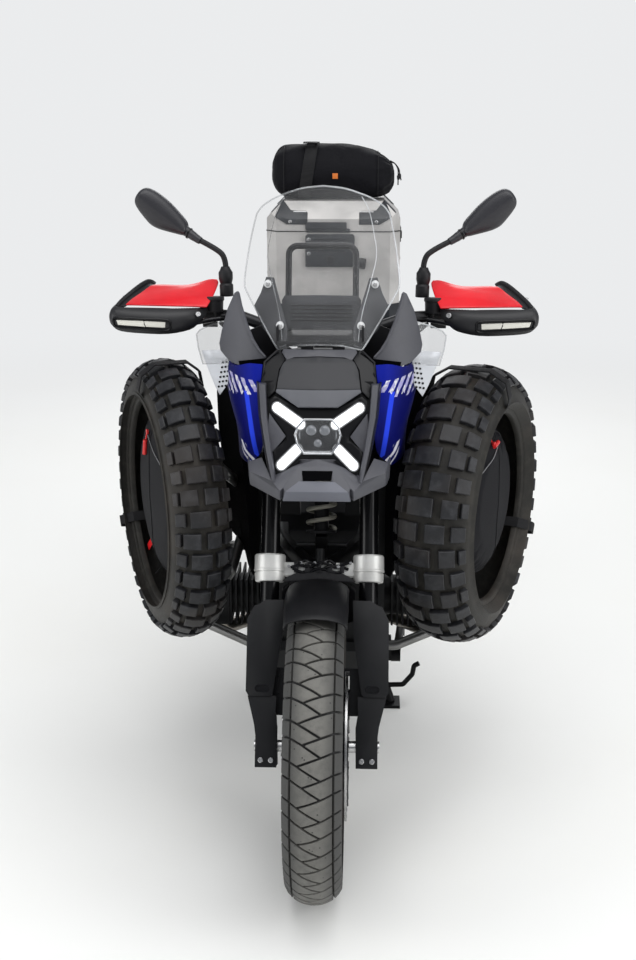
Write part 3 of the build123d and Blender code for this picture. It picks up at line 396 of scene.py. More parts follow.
@dataclass(frozen=True)
class ShroudPaint(Paint):
    """Clear-coated blue with a painted highlight along the front edge and slanted pale bars at two corners.
    """

    def detail(self, shade: Shade) -> None:
        """Flakes under the coat, painted highlights beside the rib, and broken bars cut by two slants."""
        super().detail(shade)
        x, y, z = shade.axis("X").size(), shade.axis("Y"), shade.axis("Z")
        blue = self.flaked(shade)
        middle = z * 0.135 + 0.0095
        # Painted highlight: a light blue stripe beside the rib, low and at the front.
        lit = 1.0 - (x - middle).size().ramp(0.0045, 0.0062)
        # Painted highlight: lighter blue towards the inner edge, higher up.
        inner = 1.0 - (x + (1.1 - z) * 0.16).ramp(0.135, 0.19)
        blue = shade.mix(inner * z.ramp(0.95, 1.08) * 0.5, blue, (0.008, 0.02, 0.4))
        blue = shade.mix(lit * z.below(1.068) * y.below(-0.6), blue, (0.02, 0.055, 0.72))
        rag = shade.noise(46.0, 2.0, 0.4)
        cross = (x * 0.85 - z * 0.55 + y * 0.2) * 330.0
        bars = (cross.maths("SINE", cross) + (rag - 0.5) * 3.0).above(-0.1)
        edge = 1.066 - (x - 0.14) * 0.3 + (rag - 0.5) * 0.05
        high = z.above(edge) * z.below(1.094) * (x - y * 0.35 - 0.352).above(0.0) * y.below(-0.45)
        foot = (x - 0.148 - (z - 0.925) * 0.5).above(0.0) * z.below(0.948) * y.below(-0.55) * bars
        soft = shade.noise(70.0, 1.0).ramp(0.42, 0.55)
        painted = shade.mix(high * bars * soft, blue, (0.36, 0.34, 0.6))
        lines = high * bars * (1.0 - soft)
        shade.set(Base_Color=shade.mix(lines.maths("MAXIMUM", lines, foot), painted, (0.66, 0.66, 0.72)))


@dataclass(frozen=True)
class Metal(Finish):
    """Bare or anodised metal with a drawn or cast skin."""

    drawn: bool = True
    depth: float = 0.00008

    def detail(self, shade: Shade) -> None:
        """Streaks along the piece on drawn metal, fine lumps on cast metal."""
        if self.drawn:
            stretched = shade.node(
                "ShaderNodeMapping", {"vector_type": "POINT"},
                {"Vector": shade.place, "Scale": (900.0, 30.0, 900.0)}
            )
            skin = shade.noise(1.0, 3.0, 0.6, stretched)
        else:
            skin = shade.noise(420.0, 5.0, 0.7)
        cloud = shade.noise(11.0, 4.0)
        dull = tuple(part * 0.72 for part in self.colour)
        shade.set(
            Base_Color=shade.mix(cloud.ramp(0.3, 0.75), self.colour, dull),
            Roughness=self.roughness + (skin - 0.5) * 0.2 + (cloud - 0.5) * 0.12,
        )
        shade.bump(skin, self.depth, 0.5)


@dataclass(frozen=True)
class Woven(Finish):
    """Cloth with a plain weave."""

    threads: float = 620.0

    def detail(self, shade: Shade) -> None:
        """Crossed threads whose height and colour change over and under."""
        lift: list[Wire] = []
        for turn in (0.7, -0.85):
            turned = shade.node(
                "ShaderNodeMapping", {"vector_type": "POINT"},
                {"Vector": shade.place, "Rotation": (turn, 0.4, turn)}
            )
            values = {"Vector": turned, "Scale": self.threads / 6.28, "Distortion": 0.4}
            lift.append(shade.node("ShaderNodeTexWave", {"bands_direction": "Z"}, values, "Fac"))
        weave = lift[0] * lift[1] + (1.0 - lift[0]) * (1.0 - lift[1])
        worn = shade.noise(16.0, 5.0, 0.6)
        pale = tuple(part * 1.9 + 0.002 for part in self.colour)
        shade.set(
            Base_Color=shade.mix(weave * 0.5 + worn.ramp(0.5, 0.8) * 0.3, self.colour, pale),
            Roughness=self.roughness + (weave - 0.5) * 0.15,
            Specular_IOR_Level=0.12,
        )
        shade.bump(weave * 0.6 + worn, 0.0006, 0.5)


@dataclass(frozen=True)
class Clear(Finish):
    """Clear moulded sheet: see-through face on, brighter and more mirror-like at a slant."""

    tint: float = 0.94
    haze: float = 0.05

    def detail(self, shade: Shade) -> None:
        """Mix a see-through shader with the gloss by the angle of view and a little haze."""
        shade.set(Base_Color=self.colour, Roughness=self.roughness)
        through = shade.node("ShaderNodeBsdfTransparent", values={"Color": (self.tint, self.tint, self.tint)})
        slant = shade.node("ShaderNodeLayerWeight", values={"Blend": 0.25}, output="Facing")
        film = shade.noise(5.0, 3.0).ramp(0.3, 0.8) * self.haze
        factor = (slant ** 3.0) * 0.5 + film + 0.015
        mixed = shade.node("ShaderNodeMixShader", values={0: factor, 1: through,
            2: Wire(shade, shade.surface.outputs[0])})
        shade.tree.links.new(mixed.socket, shade.output.inputs["Surface"])


@dataclass(frozen=True)
class Glow(Finish):
    """A lit or bright diffuser."""

    light: float = 1.0

    def detail(self, shade: Shade) -> None:
        """A soft light of the finish's own colour."""
        shade.set(Emission_Color=self.colour, Emission_Strength=self.light)


class Body(Enum):
    """The frame's rigid bodies."""

    CHASSIS = "chassis"
    STEERING = "steering"
    FRONT_WHEEL = "front_wheel"
    REAR_WHEEL = "rear_wheel"
    CENTRE_STAND = "centre_stand"
    SIDE_STAND = "side_stand"
    CASE_LID = "case_lid"


BEAK_GREY = Grained("beak_grey", (0.05, 0.051, 0.061), 0.46, grain=1900.0, depth=0.0001, shine=0.5)
HOOD_DARK = Grained("hood_dark", (0.022, 0.0225, 0.026), 0.5, grain=900.0, depth=0.0002, shine=0.4)
HOOD_LIP = Grained("hood_lip", (0.085, 0.088, 0.1), 0.4, grain=1900.0, depth=0.0001)
# A lighter copy of the beak grey: painted light on the beak's lowest front facets.
BEAK_PAINTED_LIGHT = Grained("beak_painted_light", (0.115, 0.12, 0.142), 0.42, grain=1900.0, depth=0.0001)
CORD_GREY = Finish("cord_grey", (0.22, 0.22, 0.23), 0.6)
STRAP_RED = Woven("strap_red", (0.5, 0.008, 0.01), 0.6, threads=1500.0)
PLATE_GREY = Grained("plate_grey", (0.04, 0.041, 0.046), 0.5, grain=1600.0)
SOFT_BLACK = Grained("soft_black", (0.008, 0.008, 0.0095), 0.46, grain=1500.0, dust=0.12)
GUARD_BLACK = Grained("guard_black", (0.012, 0.012, 0.0135), 0.42, grain=1300.0, shine=0.4)
GLOSS_BLACK = Finish("gloss_black", (0.004, 0.004, 0.005), 0.24, shine=0.25)
# Near-black with hardly any gloss: painted shade in slots, gaps, holes and hollows behind panels.
PAINTED_SHADE_BLACK = Finish("painted_shade_black", (0.0015, 0.0015, 0.002), 0.8, shine=0.03)
SEAT_VINYL = Grained("seat_vinyl", (0.016, 0.016, 0.018), 0.6, grain=650.0, depth=0.0003)
COVER_RED = Grained("cover_red", (0.62, 0.008, 0.016), 0.34, coat=0.25, grain=2200.0, depth=0.00004)
TRIM_RED = Finish("trim_red", (0.7, 0.02, 0.02), 0.45)
TANK_BLUE = TankPaint("tank_paint_blue", (0.003, 0.008, 0.17), 0.3, coat=0.6, flake=(0.008, 0.03, 0.4))
CASE_PLASTIC = Grained("case_plastic", (0.013, 0.015, 0.019), 0.4, grain=1500.0, depth=0.0001, shine=0.4)
TAB_ORANGE = Finish("tab_orange", (0.62, 0.16, 0.02), 0.6)
STRIP_WHITE = Finish("strip_white", (0.74, 0.73, 0.66), 0.18, 0.1, coat=1.0)
MIRROR_SHELL = Grained("mirror_shell", (0.016, 0.016, 0.02), 0.4, grain=1500.0, depth=0.0001, shine=0.5)
SLIDER_BLACK = Grained("slider_black", (0.0065, 0.0068, 0.008), 0.42, grain=1700.0, depth=0.0001)
MUD_BLACK = Grained("mud_black", (0.003, 0.003, 0.004), 0.42, grain=1500.0, depth=0.0001)
SHROUD_BLUE = ShroudPaint("shroud_blue", (0.003, 0.004, 0.085), 0.42, shine=0.06, flake=(0.006, 0.012, 0.2))
VENT_SILVER = Finish("vent_silver", (0.62, 0.64, 0.68), 0.3, 0.3, coat=0.4)
LAMP_CHROME = Finish("lamp_chrome", (0.75, 0.76, 0.78), 0.12, 1.0)
LENS_GLASS = Finish("lens_glass", (0.16, 0.17, 0.19), 0.06, 0.2, coat=1.0)
GRAPHIC_WHITE = Finish("graphic_white", (0.78, 0.79, 0.8), 0.25, coat=0.6)
TYRE_RUBBER = Rubber("tyre_rubber", (0.0125, 0.0125, 0.013), 0.66)
TREAD_RUBBER = RoadRubber("tread_rubber", (0.03, 0.03, 0.029), 0.6, dust=0.4)
KNOB_RUBBER = Rubber("knob_rubber", (0.0135, 0.014, 0.016), 0.46, dust=0.3)
KNOBBY_RUBBER = Rubber("knobby_rubber", (0.0095, 0.0085, 0.0065), 0.6, dust=0.35)
SILVER_CLAMP = Metal("silver_clamp", (0.68, 0.68, 0.66), 0.46, 0.55, drawn=False, depth=0.00003)
CASE_ALLOY = Metal("case_alloy", (0.56, 0.545, 0.53), 0.48, 0.45)
BRIGHT_STEEL = Metal("bright_steel", (0.6, 0.6, 0.6), 0.26, 1.0)
BAR_STEEL = Metal("crash_bar_steel", (0.2, 0.2, 0.195), 0.36, 0.85)
SPRING_STEEL = Metal("spring_steel", (0.34, 0.33, 0.28), 0.42, 0.35, drawn=False)
BLACK_ANODISED = Metal("black_anodised", (0.01, 0.01, 0.012), 0.3, 0.4, drawn=False, depth=0.00003)
FORK_TUBE = Finish("fork_tube", (0.0025, 0.0025, 0.003), 0.2, shine=0.22)
FRAME_PAINT = Metal("chassis_black", (0.0045, 0.0045, 0.005), 0.42, 0.05, shine=0.16, drawn=False)
CAST_DARK = Metal("cast_dark", (0.011, 0.0115, 0.0125), 0.52, 0.25, shine=0.25, drawn=False, depth=0.0003)
CAST_GREY = Metal("cast_grey", (0.06, 0.061, 0.064), 0.5, 0.5, drawn=False, depth=0.0002)
EXHAUST_STEEL = Metal("exhaust_steel", (0.4, 0.37, 0.33), 0.32, 1.0)
SCREEN_CLEAR = Clear("screen_clear", (0.9, 0.92, 0.94), 0.04, tint=0.975, haze=0.02)
WINGLET_CLEAR = Clear("winglet_clear", (0.88, 0.9, 0.92), 0.06, tint=0.88, haze=0.12)
SCREEN_EDGE = Clear("screen_edge", (0.9, 0.93, 0.96), 0.1, tint=0.8, haze=0.5)
LENS_CLEAR = Clear("lens_clear", (0.85, 0.88, 0.92), 0.03, tint=0.9, haze=0.1)
LAMP_WHITE = Glow("lamp_white", (0.95, 0.97, 1.0), 0.3, light=1.0)
TAIL_RED = Finish("tail_red", (0.42, 0.006, 0.006), 0.2, coat=0.7)
MIRROR_FACE = Finish("mirror_face", (0.85, 0.86, 0.88), 0.02, 1.0)
BAG_CLOTH = Woven("bag_weave", (0.004, 0.004, 0.0055), 0.7)
WEBBING = Woven("webbing", (0.012, 0.012, 0.013), 0.65, threads=1500.0)
SCREEN_DARK = Finish("screen_dark", (0.006, 0.007, 0.009), 0.08, coat=0.4)


class Form:
    """A mesh in the making, with the few moves that the motorcycle's pieces are built from."""

    def __init__(self) -> None:
        """Start empty."""
        self.mesh = bmesh.new()

    def face(self, corners: Iterable[bmesh.types.BMVert]) -> None:
        """Add one face unless it is already there."""
        try:
            self.mesh.faces.new(list(corners))
        except ValueError:
            LOG.debug("face skipped")

    def loft(self, rings: Sequence[Sequence[Point]], caps: bool = True, loop: bool = False) -> "Form":
        """Skin rings of equal count in order.

        Args:
            rings: Closed rings of points.
            caps: Close both ends.
            loop: Join the last ring to the first.

        Returns:
            This form.
        """
        rows = [[self.mesh.verts.new(point) for point in ring] for ring in rings]
        pairs = list(zip(rows, rows[1:])) + ([(rows[-1], rows[0])] if loop else [])
        count = len(rows[0])
        for low, high in pairs:
            for i in range(count):
                j = (i + 1) % count
                self.face((low[i], low[j], high[j], high[i]))
        if caps and not loop:
            self.face(reversed(rows[0]))
            self.face(rows[-1])
        return self

    def sheet(self, rows: Sequence[Sequence[Point]]) -> "Form":
        """Skin open rows of equal count."""
        made = [[self.mesh.verts.new(point) for point in row] for row in rows]
        for low, high in zip(made, made[1:]):
            for i in range(len(low) - 1):
                self.face((low[i], low[i + 1], high[i + 1], high[i]))
        return self

    def prism(self, outline: Sequence[Point], offset: Point) -> "Form":
        """Push a flat outline along an offset."""
        shift = Vector(offset)
        return self.loft([outline, [Vector(point) + shift for point in outline]])

    def block(self, low: Point, high: Point) -> "Form":
        """Add a box between two corners."""
        (x0, y0, z0), (x1, y1, z1) = low, high
        return self.prism([(x0, y0, z0), (x1, y0, z0), (x1, y1, z0), (x0, y1, z0)], (0, 0, z1 - z0))

    def tube(
        self, path: Sequence[Point], radius: float | Sequence[float], sides: int = 14, loop: bool = False
    ) -> "Form":
        """Sweep a round section along a path.

        Args:
            path: Points of the centreline.
            radius: One radius, or one for each point.
            sides: Faces round the tube.
            loop: Whether the path closes on itself.

        Returns:
            This form.
        """
        points = [Vector(point) for point in path]
        radii = list(radius) if isinstance(radius, (list, tuple)) else [radius] * len(points)
        rings, side = [], None
        for i, point in enumerate(points):
            ahead = points[(i + 1) % len(points)] if loop or i + 1 < len(points) else point
            back = points[i - 1] if loop or i else point
            along = (ahead - back).normalized()
            side = side or along.orthogonal()
            side = (side - along * side.dot(along)).normalized()
            up = along.cross(side)
            turns = [2 * pi * k / sides for k in range(sides)]
            rings.append([point + (side * cos(turn) + up * sin(turn)) * radii[i] for turn in turns])
        return self.loft(rings, loop=loop)

    def turned(
        self, profile: Sequence[tuple[float, float]], centre: Point, axis: Point = (1, 0, 0), steps: int = 48,
        closed: bool = False,
    ) -> "Form":
        """Turn a profile about an axis.

        Args:
            profile: Pairs of place along the axis and radius.
            centre: A point on the axis.
            axis: Direction of the axis.
            steps: Faces round the axis.
            closed: Whether the profile closes on itself.

        Returns:
            This form.
        """
        along = Vector(axis).normalized()
        side = along.orthogonal().normalized()
        up = along.cross(side)
        middle = Vector(centre)
        rings = []
        for place, radius in profile:
            wide = max(radius, 1e-6)
            turns = [2 * pi * k / steps for k in range(steps)]
            rings.append([middle + along * place + (side * cos(turn) + up * sin(turn)) * wide
                for turn in turns])
        return self.loft(rings, caps=not closed, loop=closed)

    def bolt(self, centre: Point, axis: Point, radius: float, height: float) -> "Form":
        """Add a round head with a hexagon socket's dimple."""
        shares = [(0, 1.0), (0.7, 1.0), (1.0, 0.82), (1.0, 0.45), (0.4, 0.4)]
        return self.turned([(height * h, radius * r) for h, r in shares], centre, axis, 12)

    def panel(
        self, outline: Sequence[tuple[float, float]], place: Callable[[float, float], Vector], step: float
    ) -> "Form":
        """Fill a flat outline with a grid and lay it on a curved surface.

        Args:
            outline: Corners in the flat, in millimetres.
            place: Gives the point in metres for a place in the flat.
            step: Grid size in millimetres.

        Returns:
            This form.
        """
        flat = bmesh.new()
        flat.faces.new([flat.verts.new((x, 0, z)) for x, z in outline])
        for axis, normal in ((0, (1, 0, 0)), (1, (0, 0, 1))):
            low = min(point[axis] for point in outline)
            high = max(point[axis] for point in outline)
            cut = (int(low / step) + 1) * step if low > 0 else int(low / step) * step
            while cut < high:
                if cut > low:
                    whole = flat.verts[:] + flat.edges[:] + flat.faces[:]
                    bmesh.ops.bisect_plane(flat, geom=whole, plane_co=Vector(normal) * cut, plane_no=normal)
                cut += step
        for vert in flat.verts:
            vert.co = place(vert.co.x, vert.co.z)
        bmesh.ops.recalc_face_normals(flat, faces=flat.faces[:])
        if sum(face.normal.y for face in flat.faces) > 0:
            bmesh.ops.reverse_faces(flat, faces=flat.faces[:])
        return self.take(flat)

    def mirrored(self) -> "Form":
        """Add the same pieces on the other side of the middle plane."""
        twin = self.mesh.copy()
        twin.transform(Matrix.Scale(-1, 4, (1, 0, 0)))
        bmesh.ops.reverse_faces(twin, faces=twin.faces[:])
        return self.take(twin)

    def take(self, other: bmesh.types.BMesh) -> "Form":
        """Add another mesh in the making, which is used up."""
        held = bpy.data.meshes.new("held")
        other.to_mesh(held)
        other.free()
        self.mesh.from_mesh(held)
        bpy.data.meshes.remove(held)
        return self

    def placed(self, matrix: Matrix) -> "Form":
        """Move everything so far by a matrix."""
        self.mesh.transform(matrix)
        return self

    def outward(self) -> "Form":
        """Merge doubles and turn every face outwards."""
        bmesh.ops.remove_doubles(self.mesh, verts=self.mesh.verts[:], dist=1e-6)
        bmesh.ops.recalc_face_normals(self.mesh, faces=self.mesh.faces[:])
        return self


def bent(points: Sequence[Point], spans: int = 6, loop: bool = False) -> list[Vector]:
    """A smooth curve through a few points.

    Args:
        points: The points that it passes.
        spans: Steps between two of them.
        loop: Whether it closes on itself.

    Returns:
        Points along the curve.
    """
    pts = [Vector(point) for point in points]
    count = len(pts)
    made: list[Vector] = []
    for i in range(count if loop else count - 1):
        if loop:
            a, b, c, d = (pts[(i + k) % count] for k in (-1, 0, 1, 2))
        else:
            b, c = pts[i], pts[i + 1]
            a = pts[i - 1] if i else b + (b - c)
            d = pts[i + 2] if i + 2 < count else c + (c - b)
        square, cube = 2 * a - 5 * b + 4 * c - d, 3 * b - a - 3 * c + d
        for k in range(spans):
            t = k / spans
            made.append(0.5 * (2 * b + (c - a) * t + square * t * t + cube * t ** 3))
    if not loop:
        made.append(pts[-1])
    return made


def plain_mesh(item: bpy.types.Object) -> None:
    """Apply an object's modifiers and keep its finishes."""
    bpy.context.view_layer.update()
    graph = bpy.context.evaluated_depsgraph_get()
    made = bpy.data.meshes.new_from_object(item.evaluated_get(graph), depsgraph=graph)
    for finish in item.data.materials:
        if finish.name not in made.materials:
            made.materials.append(finish)
    item.modifiers.clear()
    item.data = made


@dataclass
class Piece:
    """How a finished mesh joins the motorcycle."""

    name: str
    body: Body
    finishes: Sequence[Finish]
    replaces: Sequence[str] = ()
    slot: str | None = None
    bevel: float = 0.0
    bevel_angle: float = 32.0
    sharp: float = 38.0
    wall: float = 0.0

    def make(self, form: Form) -> bpy.types.Object:
        """Turn a form into a plain, smooth and placed piece.

        Args:
            form: The mesh in the making; it is used up.

        Returns:
            The piece's object.
        """
        item = self.item(form)
        if self.wall:
            thick = item.modifiers.new("wall", "SOLIDIFY")
            thick.thickness, thick.offset = self.wall, -1.0
            thick.use_even_offset = True
        if self.bevel:
            edge = item.modifiers.new("edges", "BEVEL")
            edge.width, edge.segments = self.bevel, 2
            edge.limit_method, edge.angle_limit = "ANGLE", radians(self.bevel_angle)
            edge.harden_normals = False
        return self.settle(item)

    def item(self, form: Form) -> bpy.types.Object:
        """An object of the form's mesh with the finishes in its slots."""
        mesh = bpy.data.meshes.new(self.name)
        form.mesh.to_mesh(mesh)
        form.mesh.free()
        item = bpy.data.objects.new(self.name, mesh)
        bpy.context.scene.collection.objects.link(item)
        for finish in self.finishes:
            mesh.materials.append(finish.material())
        return item

    def settle(self, item: bpy.types.Object) -> bpy.types.Object:
        """Apply the modifiers, smooth the shading and ride the body.

        Args:
            item: The object, with its modifiers live.

        Returns:
            The same object as a plain mesh.
        """
        if item.modifiers:
            plain_mesh(item)
        item.data.shade_smooth()
        item.data.set_sharp_from_angle(angle=radians(self.sharp))
        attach(item, self.body.value)
        if self.replaces:
            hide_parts(*self.replaces)
        LOG.info("%s: %d faces on %s", self.name, len(item.data.polygons), self.body.value)
        return item


@dataclass
class Cushion:
    """A stuffed piece, remeshed and blown up by cloth pressure with a cap on its swelling."""

    piece: Piece
    fill: float = 0.7
    voxel: float = 0.005
    pressure: float = 4.0
    cap: float = 0.008
    frames: int = 20
    held: Callable[[Vector], float] | None = None

    def make(self, form: Form) -> bpy.types.Object:
        """Make the stuffed piece from a closed form that is slightly smaller.

        Args:
            form: The shape before it swells; it is used up.

        Returns:
            The piece's object.
        """
        item = self.piece.item(form)
        coarse = item.modifiers.new("even", "REMESH")
        coarse.mode, coarse.voxel_size = "VOXEL", self.voxel
        plain_mesh(item)
        self.swell(item)
        fine = item.modifiers.new("smooth", "SUBSURF")
        fine.levels = fine.render_levels = 1
        self.piece.settle(item)
        return item

    def swell(self, item: bpy.types.Object) -> None:
        """Run the cloth and move each point at most as far as the cap."""
        cloth = item.modifiers.new("cloth", "CLOTH")
        settings = cloth.settings
        settings.use_pressure, settings.uniform_pressure_force = True, self.pressure
        settings.effector_weights.gravity = 0.0
        settings.quality = 4
        settings.mass = 0.4
        cloth.collision_settings.use_collision = False
        scene = bpy.context.scene
        for number in range(1, self.frames + 1):
            scene.frame_set(number)
        graph = bpy.context.evaluated_depsgraph_get()
        swollen = [vert.co.copy() for vert in item.evaluated_get(graph).data.vertices]
        item.modifiers.clear()
        scene.frame_set(1)
        for vert, target in zip(item.data.vertices, swollen):
            move = target - vert.co
            limit = self.cap * (self.held(vert.co) if self.held else 1.0)
            if move.length > limit:
                move = move.normalized() * limit
            vert.co += move


def node_form(node: str, shrink: float = 0.0) -> Form:
    """A merged copy of a CAD node's mesh, drawn in by so much."""
    form = Form()
    form.mesh.from_mesh(frame["nodes"][node].data)
    bmesh.ops.remove_doubles(form.mesh, verts=form.mesh.verts[:], dist=1e-5)
    bmesh.ops.recalc_face_normals(form.mesh, faces=form.mesh.faces[:])
    if shrink:
        form.mesh.normal_update()
        for vert in form.mesh.verts:
            vert.co -= vert.normal * shrink
    return form


def dress(node: str, finish: Finish) -> None:
    """Give a CAD node a finish, with its mesh as it is."""
    item = frame["nodes"][node]
    item.data.materials.clear()
    item.data.materials.append(finish.material())
    LOG.info("%s: %s", node, finish.name)


class GeometryRecipe(NodeTree):
    """A geometry node tree with named inputs, ending in realised instances and a material."""

    def __init__(self, name: str, inputs: dict[str, tuple[str, object]]) -> None:
        """Make the tree.

        Args:
            name: The tree's name.
            inputs: Socket type and start value by name.
        """
        self.group = bpy.data.node_groups.new(name, "GeometryNodeTree")
        super().__init__(self.group)
        self.ids: dict[str, str] = {}
        for key, (kind, value) in inputs.items():
            socket = self.group.interface.new_socket(key, in_out="INPUT", socket_type=kind)
            if value is not None:
                socket.default_value = value
            self.ids[key] = socket.identifier
        self.group.interface.new_socket("Geometry", in_out="OUTPUT", socket_type="NodeSocketGeometry")
        self.entry = self.tree.nodes.new("NodeGroupInput")
        self.exit = self.tree.nodes.new("NodeGroupOutput")

    def given(self, name: str) -> Wire:
        """One of the named inputs."""
        return Wire(self, self.entry.outputs[name])

    def end(self, geometry: Wire, material: bpy.types.Material) -> None:
        """Realise the instances and set the material."""
        real = self.node("GeometryNodeRealizeInstances", values={0: geometry})
        dressed = self.node("GeometryNodeSetMaterial", values={"Geometry": real, "Material": material})
        self.feed(self.exit.inputs[0], dressed)

    def run(self, piece: Piece, values: dict[str, object]) -> bpy.types.Object:
        """Grow the piece from an empty object.

        Args:
            piece: How the result joins the motorcycle.
            values: The inputs by name.

        Returns:
            The piece as a plain mesh.
        """
        item = bpy.data.objects.new(piece.name, bpy.data.meshes.new(piece.name))
        bpy.context.scene.collection.objects.link(item)
        modifier = item.modifiers.new("recipe", "NODES")
        modifier.node_group = self.group
        for key, value in values.items():
            modifier[self.ids[key]] = value
        return piece.settle(item)


def ring_recipe(name: str, unit: bpy.types.Object, material: bpy.types.Material) -> GeometryRecipe:
    """A tree that turns copies of a unit about the X axis and then puts them in place.

    Args:
        name: The tree's name.
        unit: One repeat, made at the axis with the wheel's middle at the origin.
        material: Finish of the result.

    Returns:
        The tree, with inputs Count, Place and Turn.
    """
    recipe = GeometryRecipe(name, {
        "Count": ("NodeSocketInt", 12),
        "Place": ("NodeSocketVector", (0.0, 0.0, 0.0)),
        "Turn": ("NodeSocketVector", (0.0, 0.0, 0.0)),
    })
    count = recipe.given("Count")
    line = recipe.node("GeometryNodeMeshLine", {"mode": "OFFSET"},
        {"Count": count, "Offset": (0.0, 0.0, 0.0)})
    angle = recipe.node("GeometryNodeInputIndex") * (2 * pi) / count
    turn = recipe.node("ShaderNodeCombineXYZ", values={0: angle})
    turn = recipe.node("FunctionNodeEulerToRotation", values={0: turn})
    source = recipe.node("GeometryNodeObjectInfo", values={"Object": unit}, output="Geometry")
    copies = recipe.node("GeometryNodeInstanceOnPoints",
        values={"Points": line, "Instance": source, "Rotation": turn})
    real = recipe.node("GeometryNodeRealizeInstances", values={0: copies})
    moved = {"Geometry": real, "Translation": recipe.given("Place"), "Rotation": recipe.given("Turn")}
    recipe.end(recipe.node("GeometryNodeTransform", values=moved), material)
    return recipe


def around(piece: Piece, unit: Form, count: int, place: Vector,
        turn: Point = (0.0, 0.0, 0.0)) -> bpy.types.Object:
    """Repeat a unit round a wheel's axis with Geometry Nodes.

    Args:
        piece: How the result joins the motorcycle.
        unit: One repeat about the X axis through the origin.
        count: Number of repeats.
        place: The wheel's middle.
        turn: The wheel's turn as XYZ angles.

    Returns:
        The finished piece.
    """
    mesh = bpy.data.meshes.new(piece.name + "_unit")
    unit.mesh.to_mesh(mesh)
    unit.mesh.free()
    source = bpy.data.objects.new(piece.name + "_unit", mesh)
    material = piece.finishes[0].material()
    recipe = ring_recipe(piece.name + "_ring", source, material)
    made = recipe.run(piece, {"Count": count, "Place": tuple(place), "Turn": turn})
    bpy.data.objects.remove(source)
    bpy.data.node_groups.remove(recipe.group)
    return made


def mm(x: float, distance: float, z: float) -> Vector:
    """A place in metres from millimetres, with the distance counted back from the front axle."""
    return Vector((x / 1000, behind(distance / 1000), z / 1000))


def row_of(points: Iterable[Point], side: int = 1) -> list[Vector]:
    """Places in metres from triples of width, distance and height, on one side of the motorcycle."""
    return [mm(side * x, distance, z) for x, distance, z in points]


def inset(outline: Sequence[tuple[float, float]], gap: float) -> list[tuple[float, float]]:
    """Shrink a flat outline by the same gap on every side.

    Args:
        outline: Corners, counter-clockwise.
        gap: How far each side moves in.

    Returns:
        The corners of the smaller outline.
    """
    made = []
    count = len(outline)
    for i, (x, y) in enumerate(outline):
        (ax, ay), (bx, by) = outline[i - 1], outline[(i + 1) % count]
        ux, uy = x - ax, y - ay
        vx, vy = bx - x, by - y
        ul, vl = hypot(ux, uy), hypot(vx, vy)
        nx, ny = -uy / ul, ux / ul
        mx, my = -vy / vl, vx / vl
        share = gap / max(0.35, 1 + nx * mx + ny * my)
        made.append((x + (nx + mx) * share, y + (ny + my) * share))
    return made


@dataclass(frozen=True)
class TyreShape:
    """A tyre's section and how a flat tread is wrapped on it. Sizes in millimetres."""

    crown: float
    half: float
    bead: float
    bead_half: float
    rise: float
    tread: float
    wall: float = 9.0
    root: float = -2.0

    def surface(self, across: float, along: float, height: float) -> Vector:
        """Wrap a flat tread place on the carcass.

        Args:
            across: Distance from the middle line over the tread.
            along: Distance round the crown.
            height: Height over the carcass.

        Returns:
            The place in metres, with the wheel's middle at the origin and its axle along X.
        """
        ball, low = self.half - self.tread * 0.6, self.rise
        slant = across / (0.5 * (ball + low))
        x, r = ball * sin(slant), self.crown - self.tread - low + low * cos(slant)
        nx, nr = sin(slant) / ball, cos(slant) / low
        size = hypot(nx, nr)
        x, r = x + nx / size * height, r + nr / size * height
        angle = along / self.crown
        return Vector((x, -sin(angle) * r, cos(angle) * r)) / 1000

    def carcass(self, form: Form, steps: int = 96) -> Form:
        """Add the closed carcass with its shoulders, sidewalls, bead rings and inner face."""
        ball, low, r0 = self.half - self.tread * 0.6, self.rise, self.crown - self.tread - self.rise
        outer = [(ball * sin(radians(a)), r0 + low * cos(radians(a))) for a in range(0, 91, 10)]
        wall = [(self.half - 1, r0 - 8), (self.half - 2.5, r0 - 9), (self.half - 3, (r0 + self.bead) / 2 + 8),
                (self.bead_half + 10, self.bead + 17), (self.bead_half + 9.5, self.bead + 14.5),
                (self.bead_half + 5, self.bead + 12), (self.bead_half + 4, self.bead + 4),
                (self.bead_half, self.bead), (self.bead_half - 10, self.bead),
                (self.bead_half - 8, self.bead + 10)]
        inner = [((ball - self.wall) * sin(radians(a)), r0 + (low - self.wall) * cos(radians(a)))
            for a in range(85, 0, -12)]
        half = outer + wall + inner
        ring = half + [(-x, r) for x, r in reversed(half[1:])]
        profile = [(x / 1000, r / 1000) for x, r in ring]
        return form.turned(profile, (0, 0, 0), (1, 0, 0), steps, closed=True)

    def tile(self, form: Form, outline: Sequence[tuple[float, float]], height: float, chamfer: float,
            step: float) -> None:
        """Wrap one tread block on the carcass.

        Args:
            form: Where it is added.
            outline: The block's flat outline, across and along, counter-clockwise.
            height: Height over the carcass.
            chamfer: Width of the worn upper edge.
            step: Longest side before a block is cut across to follow the curve.
        """
        flat = bmesh.new()
        low = [flat.verts.new((x, y, self.root)) for x, y in outline]
        top = [flat.verts.new((x, y, height - chamfer)) for x, y in outline]
        cap = [flat.verts.new((x, y, height)) for x, y in inset(outline, chamfer)]
        for lower, upper in ((low, top), (top, cap)):
            for i in range(len(outline)):
                j = (i + 1) % len(outline)
                flat.faces.new((lower[i], lower[j], upper[j], upper[i]))
        flat.faces.new(cap)
        first, last = min(x for x, _ in outline), max(x for x, _ in outline)
        cut = first + step
        while cut < last - step * 0.4:
            whole = flat.verts[:] + flat.edges[:] + flat.faces[:]
            bmesh.ops.bisect_plane(flat, geom=whole, plane_co=(cut, 0, 0), plane_no=(1, 0, 0))
            cut += step
        first, last = min(y for _, y in outline), max(y for _, y in outline)
        if last - first > 24:
            whole = flat.verts[:] + flat.edges[:] + flat.faces[:]
            bmesh.ops.bisect_plane(flat, geom=whole, plane_co=(0, (first + last) / 2, 0), plane_no=(0, 1, 0))
        for vert in flat.verts:
            vert.co = self.surface(*vert.co)
        form.take(flat)


